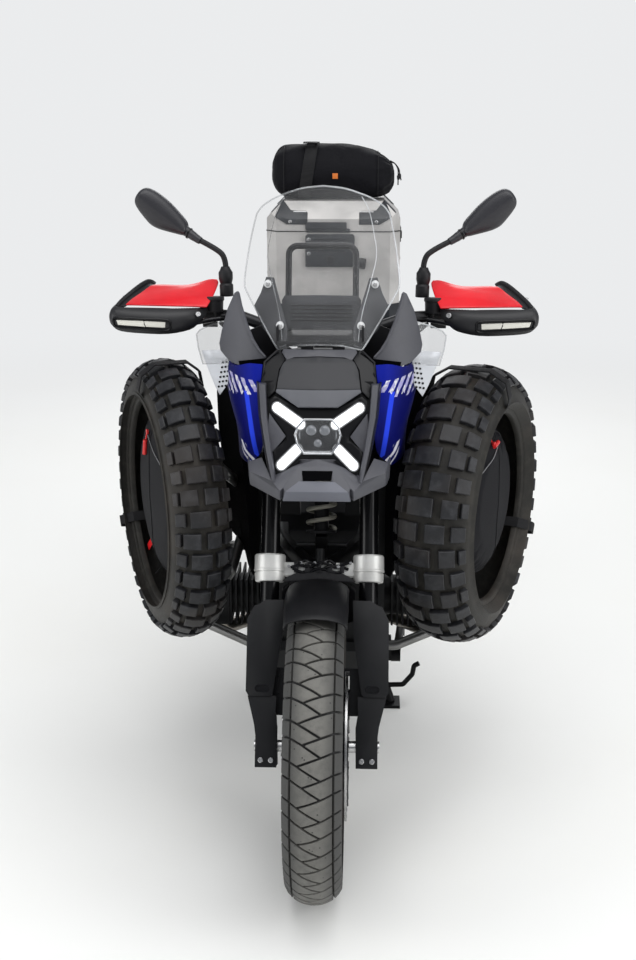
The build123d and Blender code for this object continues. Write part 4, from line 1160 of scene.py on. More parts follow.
@dataclass
class RoadTread:
    """Tread of the two wheels on the ground: leaning leaves between two shoulder grooves."""

    shoulder: float = 39.0
    edge: float = 66.0
    groove: float = 4.4
    depth: float = 6.0
    apexes: tuple[float, float] = (-25.0, -16.0)

    def unit(self, shape: TyreShape, count: int) -> Form:
        """Blocks of one repeat, two leaves long.

        Args:
            shape: The tyre that carries them.
            count: Repeats round the tyre, which set the exact length.

        Returns:
            The repeat's mesh.
        """
        form = Form()
        length = 2 * pi * shape.crown / count / 2
        s, e = self.shoulder, self.edge
        for row in range(2):
            a, b = self.apexes[row], self.apexes[1 - row]
            base = (row - 0.5) * length
            left, right = 0.62, 0.43

            def low(x: float, apex: float, lift: float) -> float:
                """Height of a row's main groove at a place across."""
                return lift + ((x - apex) * left if x < apex else (apex - x) * right)

            meet = 15.0
            leaves = [
                [(-s, low(-s, a, 0)), (a, 0), (meet, low(meet, b, length)), (b, length),
                (-s, low(-s, b, length))],
                [(a, 0), (s, low(s, a, 0)), (s, low(s, b, length)), (meet, low(meet, b, length))],
                [(-e, low(-s, a, 0) - 7), (-s, low(-s, a, 0)), (-s, low(-s, b, length)),
                (-e, low(-s, b, length) - 7)],
                [(s, low(s, a, 0)), (e, low(s, a, 0) - 3), (e, low(s, b, length) - 3),
                (s, low(s, b, length))],
            ]
            for leaf in leaves:
                moved = [(x, y + base) for x, y in leaf]
                shape.tile(form, inset(moved, self.groove / 2), self.depth, 0.8, 11.0)
        return form


@dataclass
class KnobTread:
    """Tread of the spare tyres: straight rows of square knobs, a wide and a narrow one in each row."""

    depth: float = 11.0
    row_share: float = 0.72
    rows: tuple[tuple[tuple[float, float], ...], ...] = (
        ((-1.02, -0.66), (-0.5, 0.14), (0.34, 0.74), (0.84, 1.06)),
        ((-1.06, -0.86), (-0.76, -0.2), (0.0, 0.46), (0.62, 1.02)),
    )

    def unit(self, shape: TyreShape, count: int) -> Form:
        """Knobs of one repeat, two rows long.

        Args:
            shape: The tyre that carries them.
            count: Repeats round the tyre.

        Returns:
            The repeat's mesh.
        """
        form = Form()
        length = 2 * pi * shape.crown / count / 2
        long = length * self.row_share / 2
        reach = shape.half * 0.86
        for row, knobs in enumerate(self.rows):
            middle = (row - 0.5) * length
            for number, (low, high) in enumerate(knobs):
                outer = number in (0, len(knobs) - 1)
                half = long * (0.86 if outer else 1.0)
                x0, x1 = low * reach, high * reach
                y0, y1 = middle - half, middle + half
                shape.tile(form, [(x0, y0), (x1, y0), (x1, y1), (x0, y1)], self.depth, 1.5, 16.0)
        return form


@dataclass
class Wheels:
    """The two wheels on the ground: both tyres, and the front brake's discs in metres."""

    front: TyreShape = TyreShape(crown=325, half=60, bead=241, bead_half=38, rise=46, tread=6)
    rear: TyreShape = TyreShape(crown=318, half=85, bead=216, bead_half=56, rise=52, tread=6)
    front_repeats: int = 25
    rear_repeats: int = 22
    disc_out: float = 0.064
    disc_half: float = 0.0023
    carrier_half: float = 0.0035
    arms: int = 10
    disc_holes: int = 60

    def tyre(self, name: str, body: Body, shape: TyreShape, place: Vector, tread: RoadTread,
            count: int) -> None:
        """Build one tyre: carcass and wrapped tread.

        Args:
            name: The CAD node it stands for.
            body: The wheel's body.
            shape: Its section.
            place: The axle's middle.
            tread: The tread's pattern.
            count: Repeats round it.
        """
        form = shape.carcass(Form(), 120).outward().placed(Matrix.Translation(place))
        Piece(name + "_carcass", body, [TYRE_RUBBER], [name], "tyre", sharp=50).make(form)
        around(Piece(name + "_tread", body, [TREAD_RUBBER], slot="tyre", sharp=28), tread.unit(shape, count),
            count, place)

    def build(self) -> None:
        """Build both wheels."""
        self.tyre("front_tyre", Body.FRONT_WHEEL, self.front, FRONT_AXLE, RoadTread(), self.front_repeats)
        wide = RoadTread(shoulder=54.0, edge=90.0, apexes=(-34.0, -20.0))
        self.tyre("rear_tyre", Body.REAR_WHEEL, self.rear, REAR_AXLE, wide, self.rear_repeats)
        self.discs()

    def discs(self) -> None:
        """Front brake rings on dark carriers, with a row of holes on each face drawn as shallow black discs,
        painted shade for the openings.
        """
        rings, carriers, holes = Form(), Form(), Form()
        for side in (1, -1):
            middle = FRONT_AXLE + Vector((side * self.disc_out, 0, 0))
            thick = self.disc_half
            ring = [(-thick, 0.121), (thick, 0.121), (thick, 0.155), (-thick, 0.155)]
            rings.turned(ring, middle, (1, 0, 0), 72, closed=True)
            thick = self.carrier_half
            ring = [(-thick, 0.04), (thick, 0.04), (thick, 0.068), (-thick, 0.068)]
            carriers.turned(ring, middle, (1, 0, 0), 48, closed=True)
            for k in range(self.arms):
                a, b = 2 * pi * k / self.arms, 2 * pi * (k + 0.45) / self.arms
                foot, tip = (middle + Vector((0, r * cos(t), r * sin(t)))
                    for r, t in ((0.064, a), (0.124, b)))
                carriers.tube([foot, foot.lerp(tip, 0.5), tip], (0.0062, 0.0048, 0.0058), 8)
            # The holes are shallow discs in the painted shade black, not cut through.
            for k in range(self.disc_holes):
                t, r = 2 * pi * k / self.disc_holes, 0.131 + (k % 3) * 0.0075
                for out in (-1, 1):
                    place = middle + Vector((out * self.disc_half, r * cos(t), r * sin(t)))
                    holes.turned([(0, 0.0031), (out * 0.0003, 0.0031), (out * 0.0003, 0.0)], place, (1, 0, 0),
                        8)
        Piece("disc_rings", Body.FRONT_WHEEL, [BRIGHT_STEEL], ["front_discs"], "disc_steel",
            sharp=30).make(rings.outward())
        Piece("disc_carriers", Body.FRONT_WHEEL, [BLACK_ANODISED]).make(carriers.outward())
        Piece("disc_holes", Body.FRONT_WHEEL, [PAINTED_SHADE_BLACK]).make(holes.outward())


@dataclass
class SpareTyre:
    """A knobby spare tyre carried outside the crash bars, with a round bag in its hole."""

    side: int
    width: float
    crown: float
    bead: float
    repeats: int
    height: float
    outer_x: float = 538.0
    turn: float = 22.0
    distance: float = 440.0
    strap_width: float = 24.0

    @property
    def name(self) -> str:
        """The side's name, as the CAD nodes have it."""
        return "left" if self.side > 0 else "right"

    def middle(self) -> Vector:
        """The tyre's middle, as far out as its crown allows."""
        turn, half = radians(self.turn), self.width / 2
        section = [(half * 0.95, self.crown - 34), (half * 0.55, self.crown), (half, self.bead + 42)]
        reach = max(x * cos(turn) + r * sin(turn) for x, r in section)
        return mm(self.side * (self.outer_x - reach), self.distance, self.height)

    def placed(self) -> Matrix:
        """The tyre's place and turn."""
        return Matrix.Translation(self.middle()) @ Matrix.Rotation(radians(-self.turn * self.side), 4, "Z")

    def at(self, out: float, back: float, up: float) -> Vector:
        """A place by its distance outwards, back and up from the tyre's middle, in millimetres."""
        return self.placed() @ Vector((self.side * out / 1000, back / 1000, up / 1000))

    def tyre(self) -> None:
        """Build the carcass and its knobs."""
        shape = TyreShape(self.crown, self.width / 2, self.bead, self.width / 2 - 28, 62, 11)
        form = shape.carcass(Form(), 112).outward().placed(self.placed())
        Piece(f"spare_{self.name}_carcass", Body.CHASSIS, [KNOBBY_RUBBER], [f"spare_tyre_{self.name}"],
            "tyre", sharp=50).make(form)
        turn = (0.0, 0.0, radians(-self.turn * self.side))
        piece = Piece(f"spare_{self.name}_knobs", Body.CHASSIS, [KNOB_RUBBER], slot="tyre", sharp=28)
        around(piece, KnobTread().unit(shape, self.repeats), self.repeats, self.middle(), turn)

    def bag(self) -> None:
        """Stuff the bag and lay its seam, zip pull and cord on it."""
        node = f"tyre_bag_{self.name}"
        piece = Piece(node + "_cloth", Body.CHASSIS, [BAG_CLOTH], [node], "bag_cloth", sharp=180)
        half, reach = self.width / 2, self.bead - 12
        profile = [(-half + 30, 0), (-half + 34, reach - 40), (-half + 50, reach - 14), (0, reach),
                   (half - 62, reach - 12), (half - 46, reach - 34), (half - 34, reach * 0.6), (half - 28, 0)]
        form = Form().turned([(self.side * x / 1000, r / 1000) for x, r in profile], (0, 0, 0.012), (1, 0, 0),
            48)
        form.outward().placed(Matrix.Diagonal((1, 0.97, 0.93, 1))).placed(self.placed())
        item = Cushion(piece, fill=0.75, voxel=0.006, cap=0.006).make(form)
        skin = BVHTree.FromPolygons([vert.co for vert in item.data.vertices],
            [face.vertices for face in item.data.polygons])
        inward = self.at(0, 0, 0) - self.at(1, 0, 0)

        def laid(back: float, up: float, lift: float) -> Vector:
            """The place over the bag's skin that is seen from outside."""
            start = self.at(self.width, back, up)
            hit = skin.ray_cast(start, inward.normalized())[0]
            return (hit or self.at(self.width / 2 - 30, back, up)) - inward.normalized() * (lift / 1000)

        seam = [laid(12 + 5 * sin(k * 0.5), -reach * 0.84 + 1.7 * reach * k / 20, 0.6) for k in range(21)]
        rim = [laid(reach * 0.86 * cos(k * pi / 24), reach * 0.8 * sin(k * pi / 24) + 11, 0.4)
            for k in range(48)]
        lines = Form().tube(seam, 0.0013, 6).tube(rim, 0.0014, 6, loop=True)
        Piece(node + "_seams", Body.CHASSIS, [WEBBING]).make(lines)
        pull = Form()
        if self.side > 0:
            pull.tube([laid(-16, 150, 4), laid(20, 152, 4)], 0.0052, 10)
            loop = [laid(-14, 155, 3), laid(14, 190, 3), laid(-18, 152, 3)]
        else:
            pull.tube([laid(46, 136, 4), laid(50, 100, 4)], 0.0052, 10)
            loop = [laid(38, 158, 3), laid(46, 150, 3), laid(45, 138, 3)]
        pull.tube(loop, 0.0022, 8)
        pull.turned([(0, 0), (0, 0.006), (0.004, 0.006), (0.004, 0)], loop[0], tuple(-inward), 12)
        Piece(node + "_pull", Body.CHASSIS, [TRIM_RED]).make(pull.outward())
        cord = [laid(36, 150, 3), laid(-30, 128, 2), laid(-90, 112, 2), laid(-130, 92, 2),
            laid(-150, 20, 1.5), laid(-160, -60, 1)]
        Piece(node + "_cord", Body.CHASSIS, [CORD_GREY]).make(Form().tube(bent(cord, 5), 0.0011, 6))

    def band(self, form: Form, angle: float, lift: float = 3.0) -> None:
        """Wrap a strap round the tyre's section at a place round it, in degrees from the back, upwards."""
        half, turn = self.width / 2, radians(angle)
        section = [(half - 24, self.bead - 3), (half + 1, self.bead + 34), (half + 3, self.crown - 58),
                   (half - 4, self.crown - 22), (half * 0.52, self.crown + 2), (-half * 0.52, self.crown + 2),
                   (-half + 4, self.crown - 22), (-half - 3, self.crown - 58), (-half - 1, self.bead + 34),
                   (-half + 24, self.bead - 3)]
        rings = []
        for shift, grow in ((-1, 0), (-1, lift), (1, lift), (1, 0)):
            ring = []
            for x, r in section:
                out = grow * (1 if r > self.bead else -1)
                x, r = x + (grow if x > 0 else -grow) * 0.7, r + out
                back = r * cos(turn) - shift * self.strap_width / 2 * sin(turn)
                up = r * sin(turn) + shift * self.strap_width / 2 * cos(turn)
                ring.append(self.at(x, back, up))
            rings.append(ring)
        form.loft(rings, caps=False, loop=True)

    def straps(self) -> None:
        """Black straps round the section, and the red one across the hole's foot."""
        form = Form()
        self.band(form, -27)
        self.band(form, 96)
        Piece(f"spare_{self.name}_straps", Body.CHASSIS, [WEBBING], bevel=0.0006).make(form.outward())
        if self.side < 0:
            out = self.width / 2 - 40
            path = [(out, 78, -122), (out - 4, 100, -128), (out - 8, 170, -172)]
            upper = [self.at(o, b, u) for o, b, u in path]
            lower = [self.at(o - 1, b - 9, u - 13) for o, b, u in reversed(path)]
            ribbon = Form().prism(upper + lower, self.at(1.6, 0, 0) - self.at(0, 0, 0))
            Piece("spare_right_ribbon", Body.CHASSIS, [STRAP_RED]).make(ribbon.outward())

    def build(self) -> None:
        """Build the tyre, the bag and the straps."""
        self.tyre()
        self.bag()
        self.straps()


def left_spare() -> SpareTyre:
    """The wider spare tyre, on the rider's left."""
    return SpareTyre(side=1, width=180, crown=330, bead=220, repeats=18, height=734)


def right_spare() -> SpareTyre:
    """The narrower spare tyre, on the rider's right."""
    return SpareTyre(side=-1, width=144, crown=333, bead=240, repeats=21, height=740)




def table(rows: Sequence[tuple[float, float]], value: float) -> float:
    """Read a value from a short table of pairs, straight between them."""
    if value <= rows[0][0]:
        return rows[0][1]
    for (x0, y0), (x1, y1) in zip(rows, rows[1:]):
        if value <= x1:
            return y0 + (y1 - y0) * (value - x0) / (x1 - x0)
    return rows[-1][1]


def capsule(a: tuple[float, float], b: tuple[float, float], width: float,
        steps: int = 7) -> list[tuple[float, float]]:
    """Outline of a bar with round ends between two points."""
    angle = atan2(b[1] - a[1], b[0] - a[0])
    made = []
    for centre, start in ((b, angle - pi / 2), (a, angle + pi / 2)):
        for k in range(steps + 1):
            turn = start + pi * k / steps
            made.append((centre[0] + cos(turn) * width / 2, centre[1] + sin(turn) * width / 2))
    return made


def whole(half: Sequence[tuple[float, float]]) -> list[tuple[float, float]]:
    """Close a half outline over the middle plane."""
    return list(half) + [(-x, z) for x, z in reversed(half) if x > 1e-6]


@dataclass
class Cowl:
    """The beak with its ribs and slot, the panels round the lamp, and the hood."""

    wall: float = 0.003
    rib_widths: tuple[float, ...] = (15, 14, 12, 9)

    @staticmethod
    def face(z: float) -> float:
        """Distance behind the axle of the plane that the lamp lies in."""
        return 60 + (z - 945) * 0.42

    def hood_face(self, x: float, z: float) -> float:
        """Distance behind the axle of the hood's surface."""
        rows = [(1050, 80), (1081, 103), (1110, 134), (1137, 165), (1150, 184)]
        return table(rows, z) + 0.0012 * x * x

    def beak(self) -> None:
        """The faceted lower shell, with its lowest front facets in a lighter grey as painted light."""
        lip_low, lip_high, crease = (69, 4, 876), (64, -2, 898), (75, 2, 899)
        rib_foot, trap, lamp_low = (92, 30, 912), (38, 45, 938), (80, 62, 924)
        outer_low, outer_mid, cheek, cheek_in = (140, 65, 892), (140, 50, 926), (146, 92, 934), (116, 72, 949)
        slot_low, slot_high = (29, 21, 914), (31, 36, 930)
        form = Form()
        groove_low, groove_high, side_low = (70.5, 15, 878), (67, 10, 900), (75, 6, 877)
        faces = [
            [(0, 4, 876), lip_low, lip_high, (0, -2, 898)],
            [(0, -2, 898), lip_high, (32, 20, 914), (0, 21, 914)],
            [slot_low, (32, 20, 914), lip_high, (68, 8, 903), trap, slot_high],
            [(0, 36, 930), slot_high, trap, (0, 45, 938)],
            [(68, 8, 903), crease, rib_foot, lamp_low, trap],
            [lip_low, groove_low, groove_high, (68, 8, 903), lip_high],
            [groove_low, side_low, crease, (68, 8, 903), groove_high],
            [side_low, outer_low, outer_mid, rib_foot, crease],
            [outer_mid, cheek, cheek_in, rib_foot],
            [(0, 45, 938), trap, lamp_low, (70, 70, 930), (34, 58, 950), (0, 58, 950)],
            [outer_low, (150, 150, 884), (152, 150, 930), cheek, outer_mid],
            [(0, 4, 876), (0, 150, 862), (144, 150, 868), outer_low, side_low, groove_low, lip_low],
            [outer_low, (144, 150, 868), (150, 150, 884)],
        ]
        for corners in faces:
            form.face([form.mesh.verts.new(mm(*corner)) for corner in corners])
        form.mirrored().outward()
        # The lowest front facets take slot 1, the lighter beak grey that paints the light on them.
        for face in form.mesh.faces:
            middle = face.calc_center_median()
            low = middle.z < 0.909 and abs(middle.x) < 0.05
            face.material_index = int(low and middle.y < behind(0.013) and abs(face.normal.z) < 0.9)
        Piece("beak", Body.CHASSIS, [BEAK_GREY, BEAK_PAINTED_LIGHT], ["front_cowl"], "beak_plastic", bevel=0.0014,
            wall=self.wall, bevel_angle=12).make(form)
        # A black block in the slot, painted shade for its hollow.
        dark = Form()
        pocket = [(-31, 35.4, 931), (31, 35.4, 931), (28, 21.6, 914.5), (-28, 21.6, 914.5)]
        dark.loft([row_of(pocket), row_of((x, d + 16, z) for x, d, z in pocket)])
        Piece("beak_slot", Body.CHASSIS, [PAINTED_SHADE_BLACK]).make(dark.outward())

    def ribs(self) -> None:
        """The long ribs beside the lamp with their walls, and the panels behind and beside the lamp."""
        form = Form()
        path = [(116, 122, 1092), (111, 92, 1030), (100, 60, 968), (88, 28, 910)]
        rings = []
        for (x, d, z), width in zip(path, self.rib_widths):
            near, far = x - width / 2, x + width / 2
            rings.append(row_of([(near + 2, d - 5, z), (far - 1, d - 3, z), (far + 3, d + 14, z),
                (near, d + 14, z)]))
        form.loft(rings).mirrored().outward()
        Piece("beak_ribs", Body.CHASSIS, [BEAK_GREY], slot="beak_plastic", bevel=0.0012).make(form)
        rows = []
        for out, back in ((2, 5), (7, 24), (7, 80)):
            rows.append([mm(x + width / 2 + out, d + back, z)
                for (x, d, z), width in zip(path, self.rib_widths)])
        rows[-1][-1] = mm(100, 90, 912)
        walls = Form().sheet(rows).mirrored()
        Piece("rib_walls", Body.CHASSIS, [SOFT_BLACK], wall=0.003).make(walls.outward())
        back = whole([(0, 1096), (112, 1096), (118, 1086), (112, 1000), (96, 905), (40, 915), (0, 915)])
        form = Form().panel(back, lambda x, z: mm(x, self.face(z) + 12, z), 24)
        Piece("lamp_backing", Body.CHASSIS, [GLOSS_BLACK], wall=0.002).make(form)
        form = Form()
        panel = [(101, 1037), (66, 992), (93, 961), (99, 975), (104, 1006)]
        form.panel(panel, lambda x, z: mm(x, self.face(z) + 1, z), 20).mirrored()
        Piece("lamp_cheeks", Body.CHASSIS, [BEAK_GREY], slot="beak_plastic", bevel=0.001,
            wall=0.006).make(form)

    def hood(self) -> None:
        """The dark hood, its paler lip and the glossy panels beside it."""
        lip = whole([(0, 1054), (41, 1054), (88, 1079), (86, 1084), (0, 1084)])
        form = Form().panel(lip, lambda x, z: mm(x, self.hood_face(x, z) - 1, z), 12)
        Piece("hood_lip", Body.CHASSIS, [HOOD_LIP], slot="beak_plastic", bevel=0.0012, wall=0.005).make(form)
        corner = [Vector((x, 0, z)) for x, z in ((86, 1085), (84, 1100), (80, 1119), (70, 1133), (52, 1137.5),
            (0, 1140))]
        half = [(p.x, p.z) for p in bent(corner, 4)]
        dark = whole([(0, 1085)] + half)
        form = Form().panel(dark, lambda x, z: mm(x, self.hood_face(x, z) - 2.5, z), 12)
        Piece("hood_top", Body.CHASSIS, [HOOD_DARK], ["hood_panel"], "black_plastic", bevel=0.0012,
            wall=0.006, bevel_angle=25).make(form)
        band = whole([(0, 1141), (52, 1139), (68, 1134), (79, 1146), (76, 1152), (0, 1152)])
        form = Form().panel(band, lambda x, z: mm(x, self.hood_face(x, z), z), 12)
        Piece("hood_band", Body.CHASSIS, [BEAK_GREY], slot="beak_plastic", bevel=0.001, wall=0.004).make(form)
        side = [(90, 1079), (104, 1066), (119, 1092), (116, 1126), (84, 1150), (72, 1134), (84, 1116)]
        form = Form().panel(side, lambda x, z: mm(x, self.hood_face(70, z) + (x - 70) * 0.32 + 3, z),
            14).mirrored()
        Piece("hood_sides", Body.CHASSIS, [GLOSS_BLACK], slot="black_plastic", bevel=0.001,
            wall=0.005).make(form)
        ridge = Form()
        for side_x in (1, -1):
            ridge.tube([mm(side_x * 118, 142, 1091), mm(side_x * 115, 176, 1127), mm(side_x * 88, 190, 1150)],
                0.0022, 8)
        Piece("hood_edges", Body.CHASSIS, [SOFT_BLACK]).make(ridge)

    def build(self) -> None:
        """Build the cowl."""
        self.beak()
        self.ribs()
        self.hood()


@dataclass
class Headlamp:
    """Glossy crossed surround, four light bars and the clear middle unit."""

    bar_width: float = 19.0
    cowl: Cowl = field(default_factory=Cowl)

    def lay(self, x: float, z: float, lift: float = 0.0) -> Vector:
        """A place in the lamp's plane, lifted forward by so much."""
        return mm(x, self.cowl.face(z) - lift, z)

    def layer(self, outline: Iterable[tuple[float, float]], lift: float) -> list[Vector]:
        """An outline in the lamp's plane, lifted forward by so much."""
        return [self.lay(x, z, lift) for x, z in outline]

    def build(self) -> None:
        """Build the lamp."""
        half = [(0, 1050), (44, 1052), (90, 1069), (101, 1060), (101, 1040), (66, 997), (63, 986), (90, 966),
                (93, 950), (84, 922), (70, 919), (34, 946), (0, 946)]
        form = Form().panel(whole(half), lambda x, z: self.lay(x, z, 1), 14)
        Piece("lamp_surround", Body.CHASSIS, [GLOSS_BLACK], ["headlamp"], "lamp_clear", bevel=0.0015,
            wall=0.011).make(form)
        bars, rims = Form(), Form()
        for a, b in (((85, 1048), (36, 1016)), ((74, 938), (42, 968))):
            outline = capsule(a, b, self.bar_width)
            bars.loft([self.layer(outline, 1), self.layer(outline, 4.5), self.layer(inset(outline, 2.2), 6)])
            edge = capsule(a, b, self.bar_width + 5)
            inner = capsule(a, b, self.bar_width + 0.6)
            rims.loft([self.layer(edge, 0), self.layer(edge, 3.2), self.layer(inner, 3.2),
                self.layer(inner, 0)], loop=True)
        Piece("lamp_bars", Body.CHASSIS, [LAMP_WHITE], slot="lamp_clear",
            bevel=0.001).make(bars.mirrored().outward())
        Piece("lamp_bar_rims", Body.CHASSIS, [BRIGHT_STEEL]).make(rims.mirrored().outward())
        half = [(0, 1028), (29, 1028), (44, 1012), (49, 996), (44, 978), (29, 959), (0, 959)]
        pod = whole(half)
        ring = Form()
        inner = inset(pod[::-1], 9)[::-1]
        rim = inset(pod[::-1], 3.5)[::-1]
        ring.loft([self.layer(pod, 0), self.layer(pod, 7), self.layer(rim, 7), self.layer(inner, -6)],
            caps=False)
        Piece("lamp_pod_ring", Body.CHASSIS, [LAMP_CHROME], slot="lamp_clear",
            bevel=0.0008).make(ring.outward())
        bowl = Form().panel(inner, lambda x, z: self.lay(x, z, -7 + 0.006 * (x * x)), 9)
        Piece("lamp_reflector", Body.CHASSIS, [LAMP_CHROME]).make(bowl)
        eyes = Form()
        for x, z, radius in ((-14, 1001, 12.5), (14, 1001, 12.5), (0, 977, 9.5)):
            profile = [(0.0, radius * 1.25), (5.0, radius * 1.25), (5.0, radius), (8.0, radius * 0.86),
                (10.0, radius * 0.5), (10.8, 0)]
            eyes.turned([(a / 1000, r / 1000) for a, r in profile], self.lay(x, z, -7), (0, -1, 0.25), 28)
        Piece("lamp_lenses", Body.CHASSIS, [LENS_GLASS], slot="lamp_clear").make(eyes.outward())
        cover = Form().panel(inset(pod[::-1], 3)[::-1],
            lambda x, z: self.lay(x, z, 8.5 - 0.0016 * (x * x + (z - 993) ** 2)), 8)
        Piece("lamp_cover", Body.CHASSIS, [LENS_CLEAR], slot="lamp_clear").make(cover)


@dataclass
class Fairing:
    """Blue shrouds beside the lamp and back along the tank, the guards inside in painted shade black, and the
    vent plates.
    """

    wall: float = 0.003

    def build(self) -> None:
        """Build the shrouds, the inner guards and the rib backs as painted shade, and the perforated plates.
        """
        rows = [
            (1113, [(118, 152), (148, 161), (181, 209), (205, 288), (209, 380), (188, 466)]),
            (1086, [(122, 146), (149, 156), (180, 203), (208, 288), (212, 385), (193, 520)]),
            (1040, [(122, 146), (148, 155), (176, 200), (205, 290), (210, 395), (193, 570)]),
            (990, [(118, 146), (147, 155), (170, 198), (194, 290), (202, 400), (190, 610)]),
            (966, [(118, 146), (146, 158), (166, 198), (188, 290), (196, 400), (186, 640)]),
            (930, [(126, 166), (150, 184), (168, 218), (184, 296), (192, 400), (180, 640)]),
            (886, [(156, 236), (164, 252), (174, 276), (184, 316), (190, 400), (174, 600)]),
        ]
        across = [bent([mm(x, d, z + (14 if z > 1110 and x < 150 else 0)) for x, d in places], 5)
            for z, places in rows]
        columns = [bent(column, 4) for column in zip(*across)]
        form = Form().sheet(columns).mirrored()
        bmesh.ops.recalc_face_normals(form.mesh, faces=form.mesh.faces[:])
        if sum(face.normal.x * face.calc_center_median().x for face in form.mesh.faces) < 0:
            bmesh.ops.reverse_faces(form.mesh, faces=form.mesh.faces[:])
        Piece("shrouds", Body.CHASSIS, [SHROUD_BLUE], ["side_panels"], "tank_paint", wall=self.wall,
            bevel=0.0008).make(form)
        # Inner guards: sheets in painted shade black that fill the shaded space behind the shrouds.
        lines = [(1050, 184, 212, 230), (985, 184, 212, 232), (900, 182, 210, 230), (820, 176, 204, 222),
            (740, 170, 198, 218), (650, 164, 190, 214), (590, 160, 178, 182)]
        rows = [[mm(146, 345, z), mm(a, 322, z), mm(b, 400, z), mm(c, 452, z),
            mm(c + (22 if z > 600 else 4), 500, z)] for z, a, b, c in lines]
        guard = Form().sheet(rows).mirrored()
        Piece("inner_guards", Body.CHASSIS, [PAINTED_SHADE_BLACK], wall=0.003).make(guard.outward())
        # Rib backs: sheets in painted shade black for the shaded gap behind the ribs.
        strip = Form().panel([(104, 1010), (142, 1050), (166, 1096), (172, 1124), (112, 1134), (100, 1090)],
            lambda x, z: mm(x, 178 + (x - 104) * 0.3, z), 60).mirrored()
        Piece("rib_backs", Body.CHASSIS, [PAINTED_SHADE_BLACK], wall=0.002).make(strip)
        inner = Form().panel([(84, 1098), (206, 1096), (212, 1130), (168, 1166), (118, 1186), (84, 1184)],
            lambda x, z: mm(x, 308, z), 60).mirrored()
        Piece("inner_fairing", Body.CHASSIS, [SOFT_BLACK], wall=0.003).make(inner)
        plate = Form().panel(
            [(190, 1128), (214, 1134), (262, 1127), (250, 1092), (233, 1052), (222, 1032), (204, 1058),
            (192, 1096)],
            lambda x, z: mm(x, 258 + (x - 192) * 0.5, z), 30,
        ).mirrored()
        Piece("vent_plates", Body.CHASSIS, [VENT_SILVER], wall=0.0018, bevel=0.0005).make(plate)
        # The perforations are gloss black discs on the plate, painted shade for the openings.
        holes = Form()
        for row in range(6):
            for column in range(3):
                x, z = 197 + column * 8 + row * 2.2, 1110 - row * 11 - column * 2
                holes.turned([(-0.0006, 0.0026), (0.0006, 0.0026)], mm(x, 256.6 + (x - 192) * 0.5, z),
                    (0.45, -0.89, 0), 8)
        Piece("vent_holes", Body.CHASSIS, [GLOSS_BLACK]).make(holes.mirrored().outward())


